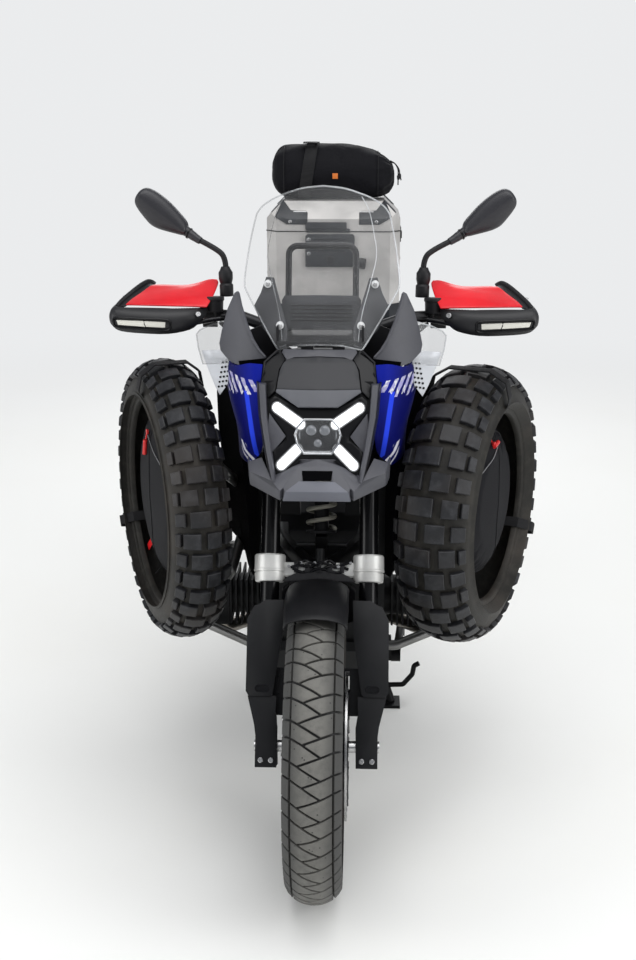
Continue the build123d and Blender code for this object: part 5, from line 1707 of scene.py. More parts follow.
@dataclass
class ScreenGroup:
    """Clear screen, its plates and screws, the display, the wind deflectors and the clear winglets."""

    low: tuple[float, float] = (190.0, 1154.0)
    top: tuple[float, float] = (425.0, 1472.0)
    radius: float = 330.0
    thick: float = 0.0035

    def lay(self, x: float, z: float, back: float = 0.0) -> Vector:
        """A place on the screen's curve, moved back by so much."""
        run, rise = self.top[0] - self.low[0], self.top[1] - self.low[1]
        length = hypot(run, rise)
        c, s = rise / length, run / length
        hollow = self.radius - sqrt(self.radius ** 2 - x * x) + back
        along = (z - self.low[1] + s * hollow) / c
        return mm(x, self.low[0] + along * s + hollow * c, z)

    def screen(self) -> None:
        """The clear sheet with its rounded outline, brighter edge and painted highlight lines along its
        creases.
        """
        half = [(0, 1160), (45, 1158), (84, 1149), (92, 1152), (128, 1202), (164, 1254), (168.5, 1268),
                (168, 1290), (160, 1350), (149, 1402), (144, 1414), (133, 1427), (110, 1442), (84, 1453),
                (45, 1465), (0, 1470)]
        smooth = [(p.x, p.z) for p in bent([Vector((x, 0, z)) for x, z in half[2:]], 4)]
        outline = whole(half[:2] + smooth)
        form = Form().panel(outline, self.lay, 14)
        Piece("screen", Body.CHASSIS, [SCREEN_CLEAR], ["windscreen"], "screen_clear", wall=self.thick,
            sharp=60).make(form)
        ring = [self.lay(x, z, 1.7) for x, z in outline]
        edge = Form().tube(ring, 0.0019, 6, loop=True)
        Piece("screen_edge", Body.CHASSIS, [SCREEN_EDGE], slot="screen_clear").make(edge)
        # Thin hazy tubes along the two creases: painted highlight lines where the creases catch the light.
        folds = Form()
        for side in (1, -1):
            path = [(84, 1449), (101, 1420), (113, 1370), (118, 1325), (104, 1270), (88, 1215), (80, 1162)]
            line = bent([self.lay(side * x, z, 0.4) for x, z in path], 6)
            folds.tube(line, [0.0001] + [0.0011] * (len(line) - 2) + [0.0001], 6)
        Piece("screen_folds", Body.CHASSIS, [SCREEN_EDGE], slot="screen_clear").make(folds)

    def plates(self) -> None:
        """Plates behind the screen with four screws in white washers."""
        form = Form()
        outline = [(72, 1154), (86, 1150), (124, 1184), (146, 1226), (132, 1252), (121, 1284), (104, 1284),
            (98, 1266), (70, 1186)]
        form.panel(outline, lambda x, z: self.lay(x, z, 9), 20).mirrored()
        Piece("screen_plates", Body.CHASSIS, [PLATE_GREY], ["screen_brackets"], "black_plastic", wall=0.004,
            bevel=0.0008).make(form)
        shelf = Form()
        shelf.prism([mm(x, d, 1152.6) for x, d in ((-95, 214), (95, 214), (95, 350), (-95, 350))],
            (0, 0, 0.0112))
        for side in (1, -1):
            shelf.prism([mm(side * 88, 214, 1160), mm(side * 93, 214, 1160), mm(side * 93, 262, 1160),
                mm(side * 88, 262, 1160)], (0, 0, 0.035))
        Piece("dash_shelf", Body.CHASSIS, [SOFT_BLACK], bevel=0.002).make(shelf.outward())
        heads, washers = Form(), Form()
        for x, z in ((115.7, 1271.7), (86.1, 1193.9)):
            for side in (1, -1):
                spot = self.lay(side * x, z)
                ahead = self.lay(side * x, z, -10) - spot
                washers.turned([(-0.009, 0.0082), (0.0012, 0.0082), (0.002, 0.0066)], spot, ahead, 24)
                heads.bolt(spot + ahead.normalized() * 0.002, ahead, 0.0046, 0.0034)
        Piece("screen_washers", Body.CHASSIS, [GRAPHIC_WHITE]).make(washers.outward())
        Piece("screen_screws", Body.CHASSIS, [BRIGHT_STEEL]).make(heads.outward())

    def dash(self) -> None:
        """The display's ribbed back and its glass to the rider."""
        form, fins = Form(), Form()
        half = [(0, 1176), (70, 1176), (84, 1186), (86, 1236), (80, 1246), (0, 1247)]
        lean = lambda x, z: mm(x, 298 + (z - 1176) * 0.18, z)
        form.panel(whole(half), lean, 30)
        Piece("dash_back", Body.CHASSIS, [PLATE_GREY], ["instrument_panel"], "display_glass", wall=0.016,
            bevel=0.002).make(form)
        for z in (1192, 1200, 1208, 1216, 1224):
            fins.prism([lean(-66, z) - Vector((0, 0.003, 0)), lean(66, z) - Vector((0, 0.003, 0)),
                lean(66, z), lean(-66, z)], (0, 0, 0.0028))
        Piece("dash_fins", Body.CHASSIS, [SOFT_BLACK]).make(fins.outward())
        glass = Form().panel(whole([(0, 1184), (76, 1184), (78, 1238), (0, 1240)]),
            lambda x, z: lean(x, z) + Vector((0, 0.0176, 0)), 40)
        bmesh.ops.reverse_faces(glass.mesh, faces=glass.mesh.faces[:])
        Piece("dash_glass", Body.CHASSIS, [SCREEN_DARK]).make(glass)

    def deflectors(self) -> None:
        """Curved grey wings beside the screen, each with a raised inner lip."""

        def lay(x: float, z: float, back: float = 0.0) -> Vector:
            """A place on the wing's curve."""
            d = 170 + 0.58 * (x - 114) + 0.2 * (z - 1106) + 0.0042 * (x - 165) ** 2 + back
            return mm(x, d, z)

        outline = [(176, 1266), (182, 1262), (198, 1228), (212, 1180), (218, 1152), (215, 1137), (194, 1119),
                   (160, 1110), (129, 1104), (118, 1118), (113, 1136), (128, 1152), (141, 1172), (156, 1206),
                   (167, 1238), (173, 1262)]
        form = Form().panel(outline, lay, 12).mirrored()
        Piece("deflectors", Body.CHASSIS, [BEAK_GREY], ["wind_deflectors"], "beak_plastic", wall=0.004,
            bevel=0.0012).make(form)
        lip = [(115, 1136), (130, 1152), (143, 1172), (158, 1206), (169, 1238), (175, 1262)]
        edge = Form()
        for side in (1, -1):
            edge.tube([lay(x, z, -1.0) * Vector((side, 1, 1)) for x, z in lip], 0.0026, 8)
        Piece("deflector_lips", Body.CHASSIS, [BEAK_GREY], slot="beak_plastic").make(edge)

    def winglets(self) -> None:
        """Clear winglets outside the deflectors."""
        outline = [(192, 1199), (206, 1199), (236, 1188), (262, 1176), (270, 1166), (266, 1138), (256, 1104),
            (232, 1106), (198, 1112)]

        def lay(x: float, z: float) -> Vector:
            """A place on the winglet's curve."""
            return mm(x, table([(188, 220), (222, 250), (276, 264)], x) + 0.2 * (z - 1102), z)

        form = Form().panel(outline, lay, 16).mirrored()
        Piece("clear_wings", Body.CHASSIS, [WINGLET_CLEAR], ["winglets"], "clear_winglet",
            wall=0.003).make(form)
        edge = Form()
        for side in (1, -1):
            edge.tube([lay(x, z) * Vector((side, 1, 1)) + Vector((0, 0.0015, 0)) for x, z in outline], 0.0017,
                6, loop=True)
        Piece("clear_wing_edges", Body.CHASSIS, [SCREEN_EDGE], slot="clear_winglet").make(edge)

    def build(self) -> None:
        """Build the screen and what is round it."""
        self.screen()
        self.plates()
        self.dash()
        self.deflectors()
        self.winglets()


@dataclass
class Guards:
    """Handguards with their light strips, the red covers and the outer loops."""

    wall: float = 0.004

    def build(self) -> None:
        """Build both sides."""
        front_rows = [
            [(284, 432, 1161), (279, 436, 1167), (272, 446, 1175), (264, 470, 1185), (256, 500, 1198)],
            [(304, 424, 1148), (301, 416, 1159), (297, 416, 1174), (293, 424, 1187), (290, 436, 1194)],
            [(351, 408, 1141), (352, 399, 1153), (352, 399, 1172), (352, 407, 1188), (352, 424, 1198)],
            [(410, 402, 1143), (412, 394, 1157), (412, 394, 1176), (412, 402, 1191), (412, 418, 1200)],
            [(456, 400, 1148), (462, 394, 1160), (463, 395, 1178), (458, 402, 1193), (450, 414, 1201)],
            [(474, 406, 1156), (480, 403, 1165), (482, 404, 1182), (477, 408, 1195), (468, 418, 1203)],
            [(480, 430, 1164), (485, 428, 1170), (486, 430, 1184), (482, 432, 1196), (474, 434, 1203)],
            [(478, 500, 1174), (482, 500, 1180), (482, 500, 1190), (479, 500, 1198), (472, 500, 1204)],
            [(474, 556, 1186), (477, 556, 1190), (477, 556, 1197), (474, 556, 1202), (468, 556, 1206)],
        ]
        columns = [bent(row_of(column), 3) for column in zip(*front_rows)]
        rows = [bent(list(row), 3) for row in zip(*columns)]
        shell = Form().sheet(rows).mirrored()
        self.turn_out(shell, Vector((0, -1, 0.2)))
        Piece("guard_shells", Body.STEERING, [GUARD_BLACK], ["handguards"], "black_plastic", wall=self.wall,
            bevel=0.001).make(shell)
        cover_rows = [
            [(266, 444, 1198), (300, 436, 1201), (370, 428, 1204), (430, 424, 1206), (449, 424, 1206)],
            [(256, 476, 1216), (296, 464, 1216), (368, 456, 1216), (424, 452, 1216), (438, 452, 1215)],
            [(250, 508, 1232), (288, 496, 1229), (362, 486, 1227), (410, 482, 1226), (421, 482, 1225)],
            [(248, 530, 1242), (278, 522, 1240), (320, 514, 1234), (388, 508, 1235), (406, 506, 1235)],
            [(252, 541, 1247), (272, 540, 1247), (318, 530, 1236), (376, 524, 1237), (398, 520, 1237)],
        ]
        columns = [bent(row_of(column), 4) for column in zip(*cover_rows)]
        rows = [bent(list(row), 4) for row in zip(*columns)]
        cover = Form().sheet(rows).mirrored()
        self.turn_out(cover, Vector((0, 0, 1)))
        Piece("guard_tops", Body.STEERING, [COVER_RED], ["guard_covers"], "red_plastic", wall=self.wall,
            bevel=0.0014).make(cover)
        self.trim()

    @staticmethod
    def turn_out(form: Form, axis: Vector) -> None:
        """Turn the faces of each side so that they look along an axis."""
        bmesh.ops.recalc_face_normals(form.mesh, faces=form.mesh.faces[:])
        for side in (1, -1):
            faces = [face for face in form.mesh.faces if face.calc_center_median().x * side > 0]
            if sum(face.normal.dot(axis) * face.calc_area() for face in faces) < 0:
                bmesh.ops.reverse_faces(form.mesh, faces=faces)

    def trim(self) -> None:
        """Light strips, black seams, screws and the loops beside the covers."""
        strip, rim, seam, screws, loops = (Form() for _ in range(5))
        for side in (1, -1):
            low = row_of(((356, 394.5, 1157.5), (411, 389.6, 1161), (462, 390.5, 1164.5)), side)
            high = row_of(((355, 394.5, 1170.5), (411, 389.6, 1174), (466, 391.5, 1175.5)), side)
            deep = Vector((0, 0.008, 0))
            strip.loft([[a, b, b + deep, a + deep] for a, b in zip(low, high)])
            path = [(351, 396.5, 1152), (411, 391.4, 1155.5), (466, 392.6, 1159.5), (472, 395, 1168),
                    (468, 393.6, 1180), (411, 391.4, 1178.6), (351, 396.5, 1175), (345, 397.4, 1163)]
            rim.tube(bent(row_of(path, side), 4, True), 0.0026, 8, loop=True)
            seam.tube([mm(side * 404, 392.3, 1180), mm(side * 402, 391.4, 1166), mm(side * 398, 392.4, 1158)],
                0.0017, 6)
            screws.bolt(mm(side * 284, 424, 1184), (side * -0.35, -0.85, 0.4), 0.0062, 0.003)
            screws.bolt(mm(side * 471, 548, 1203), (0, 0, 1), 0.006, 0.003)
            loop = [(472, 440, 1196), (462, 466, 1208), (434, 512, 1230), (417, 540, 1239), (409, 549, 1238),
                (401, 548, 1233)]
            ring = bent(row_of(loop, side), 4)
            loops.tube(ring, 0.0065, 10)
            edge = [(449, 424, 1203), (438, 452, 1212), (421, 482, 1222), (406, 506, 1232), (399, 520, 1234),
                (398, 535, 1233)]
            down = Vector((0, 0, -0.003))
            loops.loft([[a, b, b + down, a + down] for a, b in zip(bent(row_of(edge, side), 4), ring)])
        Piece("guard_lights", Body.STEERING, [STRIP_WHITE], slot="black_plastic",
            bevel=0.0014).make(strip.outward())
        Piece("guard_light_frames", Body.STEERING, [GLOSS_BLACK]).make(rim)
        Piece("guard_light_seams", Body.STEERING, [GLOSS_BLACK]).make(seam)
        Piece("guard_screws", Body.STEERING, [BRIGHT_STEEL]).make(screws.outward())
        Piece("guard_loops", Body.STEERING, [SOFT_BLACK]).make(loops.outward())


@dataclass
class Grips:
    """What the hands hold: ribbed grips, switch boxes, levers, reservoirs and their cables."""

    inner: Point = (262, 498, 1170)
    outer: Point = (397, 539.5, 1159)

    def build(self) -> None:
        """Build both ends of the handlebar."""
        rubber, boxes, levers, cables = Form(), Form(), Form(), Form()
        for side in (1, -1):
            a, b = row_of((self.inner, self.outer), side)
            along = (b - a).normalized()
            length = (b - a).length
            profile = [(0.022, 0.0145), (0.022, 0.0195), (0.026, 0.0195), (0.028, 0.0168)]
            for k in range(14):
                start = 0.03 + k * 0.0072
                profile += [(start, 0.0162), (start + 0.001, 0.0174), (start + 0.0046, 0.0174),
                    (start + 0.0056, 0.0162)]
            profile += [(length, 0.0168), (length + 0.002, 0.014), (length + 0.002, 0.0)]
            rubber.turned(profile, a, along, 20)
            box = [(246, 476, 1192), (282, 486, 1190), (284, 502, 1187), (248, 492, 1189)]
            boxes.prism(row_of(box, side), mm(side * 250, 482, 1146) - mm(side * 250, 478, 1193))
            cup = mm(side * 252, 480, 1180)
            pot = [(0, 0), (0, 0.019), (0.026, 0.02), (0.027, 0.022), (0.034, 0.022), (0.036, 0.019),
                (0.036, 0)]
            boxes.turned(pot, cup, (0, 0.1, 1), 20)
            boxes.tube(row_of(((246, 478, 1184), (246, 482, 1172), (252, 490, 1170)), side), 0.0085, 10)
            path = [(238, 462, 1168), (262, 452, 1166), (300, 446, 1160), (350, 452, 1153), (388, 464, 1149),
                (398, 472, 1150)]
            levers.tube(bent(row_of(path, side), 4), 0.0058, 10)
            for n in range(3):
                path = [(240, 478 - 6 * n, 1156), (206 + 5 * n, 452, 1150 - 5 * n),
                        (160, 432 - 4 * n, 1140 - 9 * n), (104, 436, 1120 - 8 * n), (70, 448, 1096 - 6 * n)]
                cables.tube(bent(row_of(path, side), 4), 0.0034 - 0.0005 * n, 8)
        Piece("grips", Body.STEERING, [KNOBBY_RUBBER]).make(rubber.outward())
        Piece("switch_boxes", Body.STEERING, [SOFT_BLACK], bevel=0.0025).make(boxes.outward())
        Piece("hand_levers", Body.STEERING, [BLACK_ANODISED]).make(levers)
        Piece("bar_cables", Body.STEERING, [SOFT_BLACK]).make(cables)


@dataclass
class Mirrors:
    """Leaf-shaped mirrors with a ridge on the back of the shell."""

    front: float = 530.0
    deep: float = 30.0

    def shell(self) -> None:
        """The shell: its rim outline drawn forward to a ridge."""
        rim = [(318, 1364), (321, 1379), (336, 1398), (353, 1417), (372, 1434), (394, 1449), (412, 1455),
               (427, 1449), (438, 1434), (440, 1421), (436, 1410), (426, 1395), (408, 1373), (392, 1363),
               (374, 1357), (350, 1351), (332, 1347), (322, 1350)]
        outline = bent([Vector((x, 0, z)) for x, z in rim], 3, True)
        ridge_a, ridge_b = Vector((428, 0, 1436)), Vector((326, 0, 1358))

        def drawn(point: Vector, part: float) -> Vector:
            """Move a rim point towards the ridge line."""
            run = ridge_b - ridge_a
            share = min(max((point - ridge_a).dot(run) / run.length_squared, 0.0), 1.0)
            return point.lerp(ridge_a + run * share, part)

        form = Form()
        rings = []
        for part, d in ((0.03, self.deep + 2), (0.0, self.deep - 2), (0.02, 20), (0.12, 11), (0.34, 5.5),
                (0.68, 1.5), (0.985, 0)):
            rings.append([mm(p.x, self.front + d, p.z) for p in (drawn(q, part) for q in outline)])
        form.loft(rings)
        neck = bent(row_of(((330, 548, 1362), (314, 545, 1352), (300, 540, 1343), (288, 536, 1336))), 3)
        form.tube(neck, [0.0125, 0.0125, 0.0118, 0.0112, 0.0108, 0.0106, 0.0098, 0.0094, 0.009, 0.0086], 14)
        Piece("mirror_shells", Body.STEERING, [MIRROR_SHELL], ["mirrors"],
            "black_plastic").make(form.mirrored().outward())
        ring = Form()
        for side in (1, -1):
            ring.tube([mm(side * 316.5, 546, 1353), mm(side * 314, 545.4, 1351.6)], 0.0134, 16)
        Piece("mirror_collars", Body.STEERING, [GLOSS_BLACK]).make(ring)

    def stalk(self) -> None:
        """Bent stem, ball joint and clamp."""
        form = Form()
        stem = [(292, 538, 1338.5), (268, 531, 1327), (248, 525, 1316), (236, 521, 1306), (230, 519, 1290),
            (228, 518, 1270)]
        form.tube(bent(row_of(stem), 4), 0.0066, 12)
        form.turned([(-0.004, 0.0), (-0.004, 0.0105), (0.0, 0.0135), (0.012, 0.0165), (0.026, 0.0165),
            (0.034, 0.012), (0.04, 0.0095)],
                    mm(228.5, 516, 1240), (0.03, 0.03, 1), 14)
        form.turned([(0, 0.016), (0.026, 0.016), (0.03, 0.013), (0.034, 0.0)], mm(227, 512, 1212),
            (0.02, 0.05, 1), 16)
        Piece("mirror_stems", Body.STEERING, [SOFT_BLACK], bevel=0.0006).make(form.mirrored().outward())

    def build(self) -> None:
        """Build the mirrors."""
        self.shell()
        self.stalk()


@dataclass
class Fork:
    """Clamps, the bridge with its cables, the slider covers and the mudguard."""

    rake: float = radians(26.2)

    def place(self, x: float, rearward: float, along: float) -> Vector:
        """A place in the fork's frame: across, rearward and along it in millimetres."""
        back = along * sin(self.rake) + rearward * cos(self.rake)
        high = 325 + along * cos(self.rake) - rearward * sin(self.rake)
        return mm(x, back, high)

    def layer(self, outline: Iterable[tuple[float, float]], rearward: float) -> list[Vector]:
        """An outline across and along the fork, at one depth."""
        return [self.place(x, rearward, along) for x, along in outline]

    def clamps(self) -> None:
        """Silver barrel clamps with a ring, and the bridge between them."""
        form = Form()
        up = (0, sin(self.rake), cos(self.rake))
        for side in (1, -1):
            profile = [(352, 21.6), (352, 30), (353.5, 32), (361, 33), (371, 33.8), (371.5, 31.6),
                       (374.5, 31.6), (375, 34.8), (379, 35), (380, 34), (409, 33.8), (412, 31.5),
                       (412, 21.6)]
            form.turned([(a / 1000, r / 1000) for a, r in profile], self.place(side * 108, 0, 0), up, 48,
                closed=True)
        Piece("fork_clamps", Body.STEERING, [SILVER_CLAMP], ["fork_bridge"], "clamp_alloy",
            sharp=18).make(form.outward())
        bar = Form()
        bar.prism([self.place(x, r, 365) for x, r in [(84, -10), (84, 16), (30, 62), (-30, 62), (-84, 16),
            (-84, -10)]],
                  self.place(0, 0, 395) - self.place(0, 0, 365))
        Piece("bridge_plate", Body.STEERING, [SILVER_CLAMP], bevel=0.0025).make(bar.outward())
        pin = Form()
        pin.turned([(0.365, 0.0), (0.365, 0.0098), (0.43, 0.0098), (0.431, 0.0)], self.place(0, 41.6, 0), up,
            24)
        Piece("bridge_pin", Body.STEERING, [CAST_DARK]).make(pin.outward())

    def bridge_trim(self) -> None:
        """Black cables, clips and small screws on the front of the bridge."""
        cables, clips, screws = Form(), Form(), Form()
        for n, (x0, x1, rise) in enumerate(((-62, 64, 2), (-58, 48, -5), (-30, 66, 8), (-44, 36, 12))):
            path = [self.place(x0 + (x1 - x0) * k / 6, -16 - 3 * sin(k * 2.1 + n) - n,
                381 + rise + 5 * sin(k * 1.7 + n * 2)) for k in range(7)]
            cables.tube(bent(path, 4), 0.0034, 8)
        for x in (-50, -26, 0, 24, 50):
            block = [self.place(x + out, rear, 372) for out, rear in ((-5, -20), (5, -20), (5, -11),
                (-5, -11))]
            clips.prism(block, self.place(0, 0, 18 + abs(x) * 0.08) - self.place(0, 0, 0))
        for x in (-66, -40, -10, 14, 42, 68):
            screws.bolt(self.place(x, -19, 385 + (x % 3) * 4), (0, -0.9, 0.3), 0.0036, 0.002)
        skirt = [(-82, 352), (82, 352), (70, 362), (46, 374), (20, 381), (-20, 381), (-46, 374), (-70, 362)]
        clips.loft([self.layer(skirt, -13), self.layer(inset(skirt, 1.5), -17.5)])
        Piece("bridge_cables", Body.STEERING, [GLOSS_BLACK]).make(cables)
        Piece("bridge_clips", Body.STEERING, [SOFT_BLACK], bevel=0.001).make(clips.outward())
        Piece("bridge_screws", Body.STEERING, [BRIGHT_STEEL]).make(screws.outward())

    def covers(self) -> None:
        """Slider covers: bevelled plates with an oval recess, and the axle clamps' screws."""
        form, recess, screws = Form(), Form(), Form()
        front = [(77, 308), (112, 308), (138, 292), (150, 268), (150, 116), (145, 108), (101, 108), (97, 112),
            (79, 236)]
        form.loft([self.layer(front, -26), self.layer(front, -33), self.layer(inset(front, 3.0), -35.5)])
        low = [(89, 104), (146, 104), (142, 88), (138, 72), (131, 44), (128, 22), (128, -42), (86, -42),
            (85, 40), (90, 70)]
        form.loft([self.layer(low, -20), self.layer(low, -29), self.layer(inset(low, 2.5), -31)])
        Piece("slider_covers", Body.STEERING, [SLIDER_BLACK], ["fork_sliders"], "fork_black",
            bevel=0.0008).make(form.mirrored().outward())
        back = Form()
        side = [(84, 300), (138, 300), (149, 270), (149, 110), (130, 60), (128, -42), (84, -42), (88, 60),
            (101, 108), (79, 236)]
        back.loft([self.layer(side, 27.5), self.layer(side, -25)])
        Piece("slider_bodies", Body.STEERING, [SOFT_BLACK], slot="fork_black",
            bevel=0.003).make(back.mirrored().outward())
        oval = capsule((110, 121), (126, 121), 15)
        recess.loft([self.layer(oval, -35.2), self.layer(oval, -36.6), self.layer(inset(oval, 2), -36.6),
                     self.layer(inset(oval, 2.6), -35.9)])
        for x in (96, 118):
            screws.bolt(self.place(x, -31, -29), (0, -cos(self.rake), sin(self.rake)), 0.0058, 0.003)
        Piece("slider_ovals", Body.STEERING, [GLOSS_BLACK]).make(recess.mirrored().outward())
        Piece("axle_screws", Body.STEERING, [BRIGHT_STEEL]).make(screws.mirrored().outward())

    def mudguard(self) -> None:
        """Domed mudguard with a rolled front lip and wings to the sliders."""
        rows = []
        half = [(66, 322), (67, 334), (61, 345), (48, 352), (26, 357.5), (0, 359.5)]
        section = [(-x, r) for x, r in half] + half[-2::-1]
        for angle in [50 + 2.35 * k for k in range(25)]:
            a = radians(angle)
            nose = max(0.0, (angle - 96) / 10.4)
            ring = []
            for x, r in section:
                lift = r - 7 * nose * (1 if r > 330 else 0)
                ring.append(mm(x * (1 - 0.03 * nose), -lift * cos(pi - a), 325 + lift * sin(a)))
            rows.append(ring)
        form = Form().sheet(rows)
        bmesh.ops.recalc_face_normals(form.mesh, faces=form.mesh.faces[:])
        if sum(face.normal.z for face in form.mesh.faces) < 0:
            bmesh.ops.reverse_faces(form.mesh, faces=form.mesh.faces[:])
        Piece("mudguard", Body.STEERING, [MUD_BLACK], ["front_mudguard"], "black_plastic", wall=0.0035,
            bevel=0.0012).make(form)
        wings = Form()
        for side in (1, -1):
            corners = ((62, 4, 262), (78, -14, 268), (80, -16, 330), (66, 8, 344))
            wings.prism([self.place(side * x, rear, along) for x, rear, along in corners], (0, 0.02, 0.003))
        Piece("mudguard_wings", Body.STEERING, [SOFT_BLACK], bevel=0.001).make(wings.outward())

    def build(self) -> None:
        """Build the fork's parts."""
        self.clamps()
        self.bridge_trim()
        self.covers()
        self.mudguard()


@dataclass
class FrontStrut:
    """Spring with real coils round the damper, and the suspension arm under it."""

    foot: tuple[float, float] = (312.0, 699.0)
    top: tuple[float, float] = (380.0, 926.0)
    turns: float = 7.0
    coil: float = 0.0308
    arm: tuple[tuple[float, ...], ...] = (
        (98, 522, 640, 11, 16), (92, 420, 646, 10, 18), (62, 320, 650, 11, 18), (22, 244, 642, 16, 14),
    (6, 212, 636, 18, 12), )

    def build(self) -> None:
        """Build the spring, the arm and the damper."""
        axis = (mm(0, *self.top) - mm(0, *self.foot)).normalized()
        length = (mm(0, *self.top) - mm(0, *self.foot)).length
        across = axis.cross(Vector((1, 0, 0))).normalized()
        steps = int(self.turns * 28)
        path = []
        for k in range(steps + 1):
            turn = 2 * pi * self.turns * k / steps
            start = mm(0, *self.foot) + axis * (0.012 + (length - 0.04) * k / steps)
            path.append(start + (Vector((1, 0, 0)) * cos(turn) + across * sin(turn)) * self.coil)
        spring = Form().tube(path, 0.005, 10)
        Piece("strut_spring", Body.CHASSIS, [SPRING_STEEL], ["front_strut"], "bar_steel").make(spring)
        arm = Form()
        for side in (1, -1):
            rings = []
            for x, d, z, w, h in self.arm:
                near, far = side * x - w, side * x + w
                rings.append(row_of([(near, d, z - h), (far, d, z - h), (far, d, z + h), (near, d, z + h)]))
            arm.loft(rings)
        arm.block(mm(-60, 306, 640), mm(60, 334, 668))
        arm.block(mm(-14, 300, 660), mm(14, 326, 696))
        Piece("telelever", Body.CHASSIS, [FRAME_PAINT], ["telelever_arm"], "frame_paint",
            bevel=0.003).make(arm.outward())
        body = Form()
        profile = [(0, 0), (0, 0.014), (0.003, 0.014), (0.003, 0.035), (0.008, 0.035), (0.008, 0.017),
                   (length * 0.45, 0.017), (length * 0.45, 0.0135), (length - 0.022, 0.0135),
                   (length - 0.022, 0.035), (length - 0.014, 0.035), (length - 0.014, 0.013), (length, 0.013),
                   (length, 0)]
        body.turned(profile, mm(0, *self.foot), axis, 32)
        Piece("strut_damper", Body.CHASSIS, [SOFT_BLACK], slot="bar_steel", bevel=0.0006).make(body.outward())


@dataclass
class RollBag:
    """The roll bag on the case: cloth body with a gathered end, a strap, a tab and toggles."""

    stations: tuple[tuple[float, float, float, float, float], ...] = (
        (-184, 1392, 1462, 1520, 1616), (-181, 1368, 1488, 1496, 1648), (-170, 1354, 1500, 1480, 1668),
        (-146, 1350, 1506, 1472, 1678), (-80, 1350, 1512, 1470, 1681), (0, 1350, 1512, 1470, 1681),
        (70, 1350, 1507, 1471, 1680), (120, 1351, 1494, 1474, 1677), (150, 1354, 1478, 1482, 1668),
        (170, 1364, 1460, 1498, 1652), (182, 1386, 1438, 1530, 1620),
    )
    middle_y: float = 0.794
    middle_z: float = 1.43
    foot: float = 1.3485
    strap: float = -78.0

    def ring(self, x: float, lift: float = 0.0) -> list[Vector]:
        """Cross-section at a place along the bag, lifted off by so much."""
        low, high, near, far = (table([(row[0], row[k]) for row in self.stations], x) for k in (1, 2, 3, 4))
        made = []
        for k in range(40):
            turn = 2 * pi * k / 40
            c, s = cos(turn), sin(turn)
            power = 0.52 if s < 0 else 0.74
            across = (abs(c) ** power) * (1 if c > 0 else -1)
            rise = (abs(s) ** power) * (1 if s > 0 else -1)
            d = (near + far) / 2 + across * ((far - near) / 2 + lift)
            made.append(mm(x, d, (low + high) / 2 + rise * ((high - low) / 2 + lift)))
        return made

    def body(self) -> None:
        """The stuffed body with its creases."""
        form = Form()
        form.loft([self.ring(row[0], -5) for row in self.stations]).outward()
        piece = Piece("roll_bag_body", Body.CASE_LID, [BAG_CLOTH], ["roll_bag"], "bag_cloth", sharp=180)
        item = Cushion(piece, fill=0.7, voxel=0.0045, cap=0.006).make(form)
        for vert in item.data.vertices:
            x, d, z = vert.co.x * 1000, vert.co.y, vert.co.z
            turn = atan2(z - self.middle_z, d - self.middle_y)
            gather = max(0.0, (x - 105) / 80) ** 1.4
            fold = 0.0046 * gather * sin(turn * 11 + x * 0.045) + 0.0022 * gather * sin(turn * 23 + 1.0)
            tuck = 0.0026 * max(0.0, (-125 - x) / 60) * sin(turn * 7 + 2.0)
            slack = 0.0018 * sin(x * 0.055 + turn * 2.0) * sin(turn * 3.0 + x * 0.02)
            pull = -0.004 * max(0.0, 1 - abs(x + 78 - (z - 1.435) * 60) / 26) ** 2
            away = Vector((0, d - self.middle_y, z - self.middle_z)).normalized()
            vert.co += away * (fold + tuck + slack + pull)
            vert.co.z = max(vert.co.z, self.foot)

    def straps(self) -> None:
        """Webbing round the bag, its buckle, the seam and the tab."""
        band = Form()
        outer, inner = [], []
        for side in (-18, 18):
            for rings, lift in ((outer, 2.6), (inner, 0.4)):
                ring = self.ring(self.strap + side, lift)
                rings.append([Vector((p.x + (p.z - self.middle_z) * 0.16, p.y, p.z)) for p in ring])
        band.loft([outer[0], outer[1], inner[1], inner[0]], caps=False, loop=True).outward()
        Piece("bag_strap", Body.CASE_LID, [WEBBING], bevel=0.0006).make(band)
        buckle = Form()
        for low, high in (((-92, 1488, 1513), (-50, 1506, 1516.8)), ((-92, 1524, 1513), (-50, 1542, 1516.8)),
                          ((-92, 1506, 1513), (-84, 1524, 1516.8)), ((-58, 1506, 1513), (-50, 1524, 1516.8))):
            buckle.block(mm(*low), mm(*high))
        Piece("bag_buckle", Body.CASE_LID, [SOFT_BLACK], bevel=0.0008).make(buckle.outward())
        seams = Form()
        for x in (-150, 132):
            seams.tube(self.ring(x, -0.4), 0.0012, 6, loop=True)
        top = [self.ring(x, 0.2)[7] for x in range(-160, 150, 12)]
        seams.tube(top, 0.0012, 6)
        Piece("bag_seams", Body.CASE_LID, [WEBBING]).make(seams)
        tab = Form()
        spot = [p for p in self.ring(2, 0.6) if p.y < 0.7]
        d = min(p.y for p in spot)
        tab.block(Vector((-0.004, d - 0.0008, 1.412)), Vector((0.012, d + 0.002, 1.428)))
        Piece("bag_tab", Body.CASE_LID, [TAB_ORANGE], bevel=0.0006).make(tab.outward())

    def toggles(self) -> None:
        """Drawcords with toggles hanging from the gathered end."""
        cords, toggles = Form(), Form()
        for n, (end_x, end_z) in enumerate(((201, 1407), (192, 1393))):
            path = [(168, 1500 + 6 * n, 1463 - 4 * n), (182, 1494, 1455), (194 - 3 * n, 1490, 1439),
                    (197 - 5 * n, 1488, 1423), (end_x, 1488, end_z)]
            cords.tube(bent(row_of(path), 4), 0.0019, 7)
            bead = [(0, 0.002), (0.002, 0.0044), (0.012, 0.0044), (0.014, 0.002)]
            toggles.turned(bead, mm(196 - 4 * n, 1489, 1427 - 5 * n), (0.1, 0, -1), 10)
        Piece("bag_drawcords", Body.CASE_LID, [WEBBING]).make(cords)
        Piece("bag_toggles", Body.CASE_LID, [SOFT_BLACK]).make(toggles.outward())

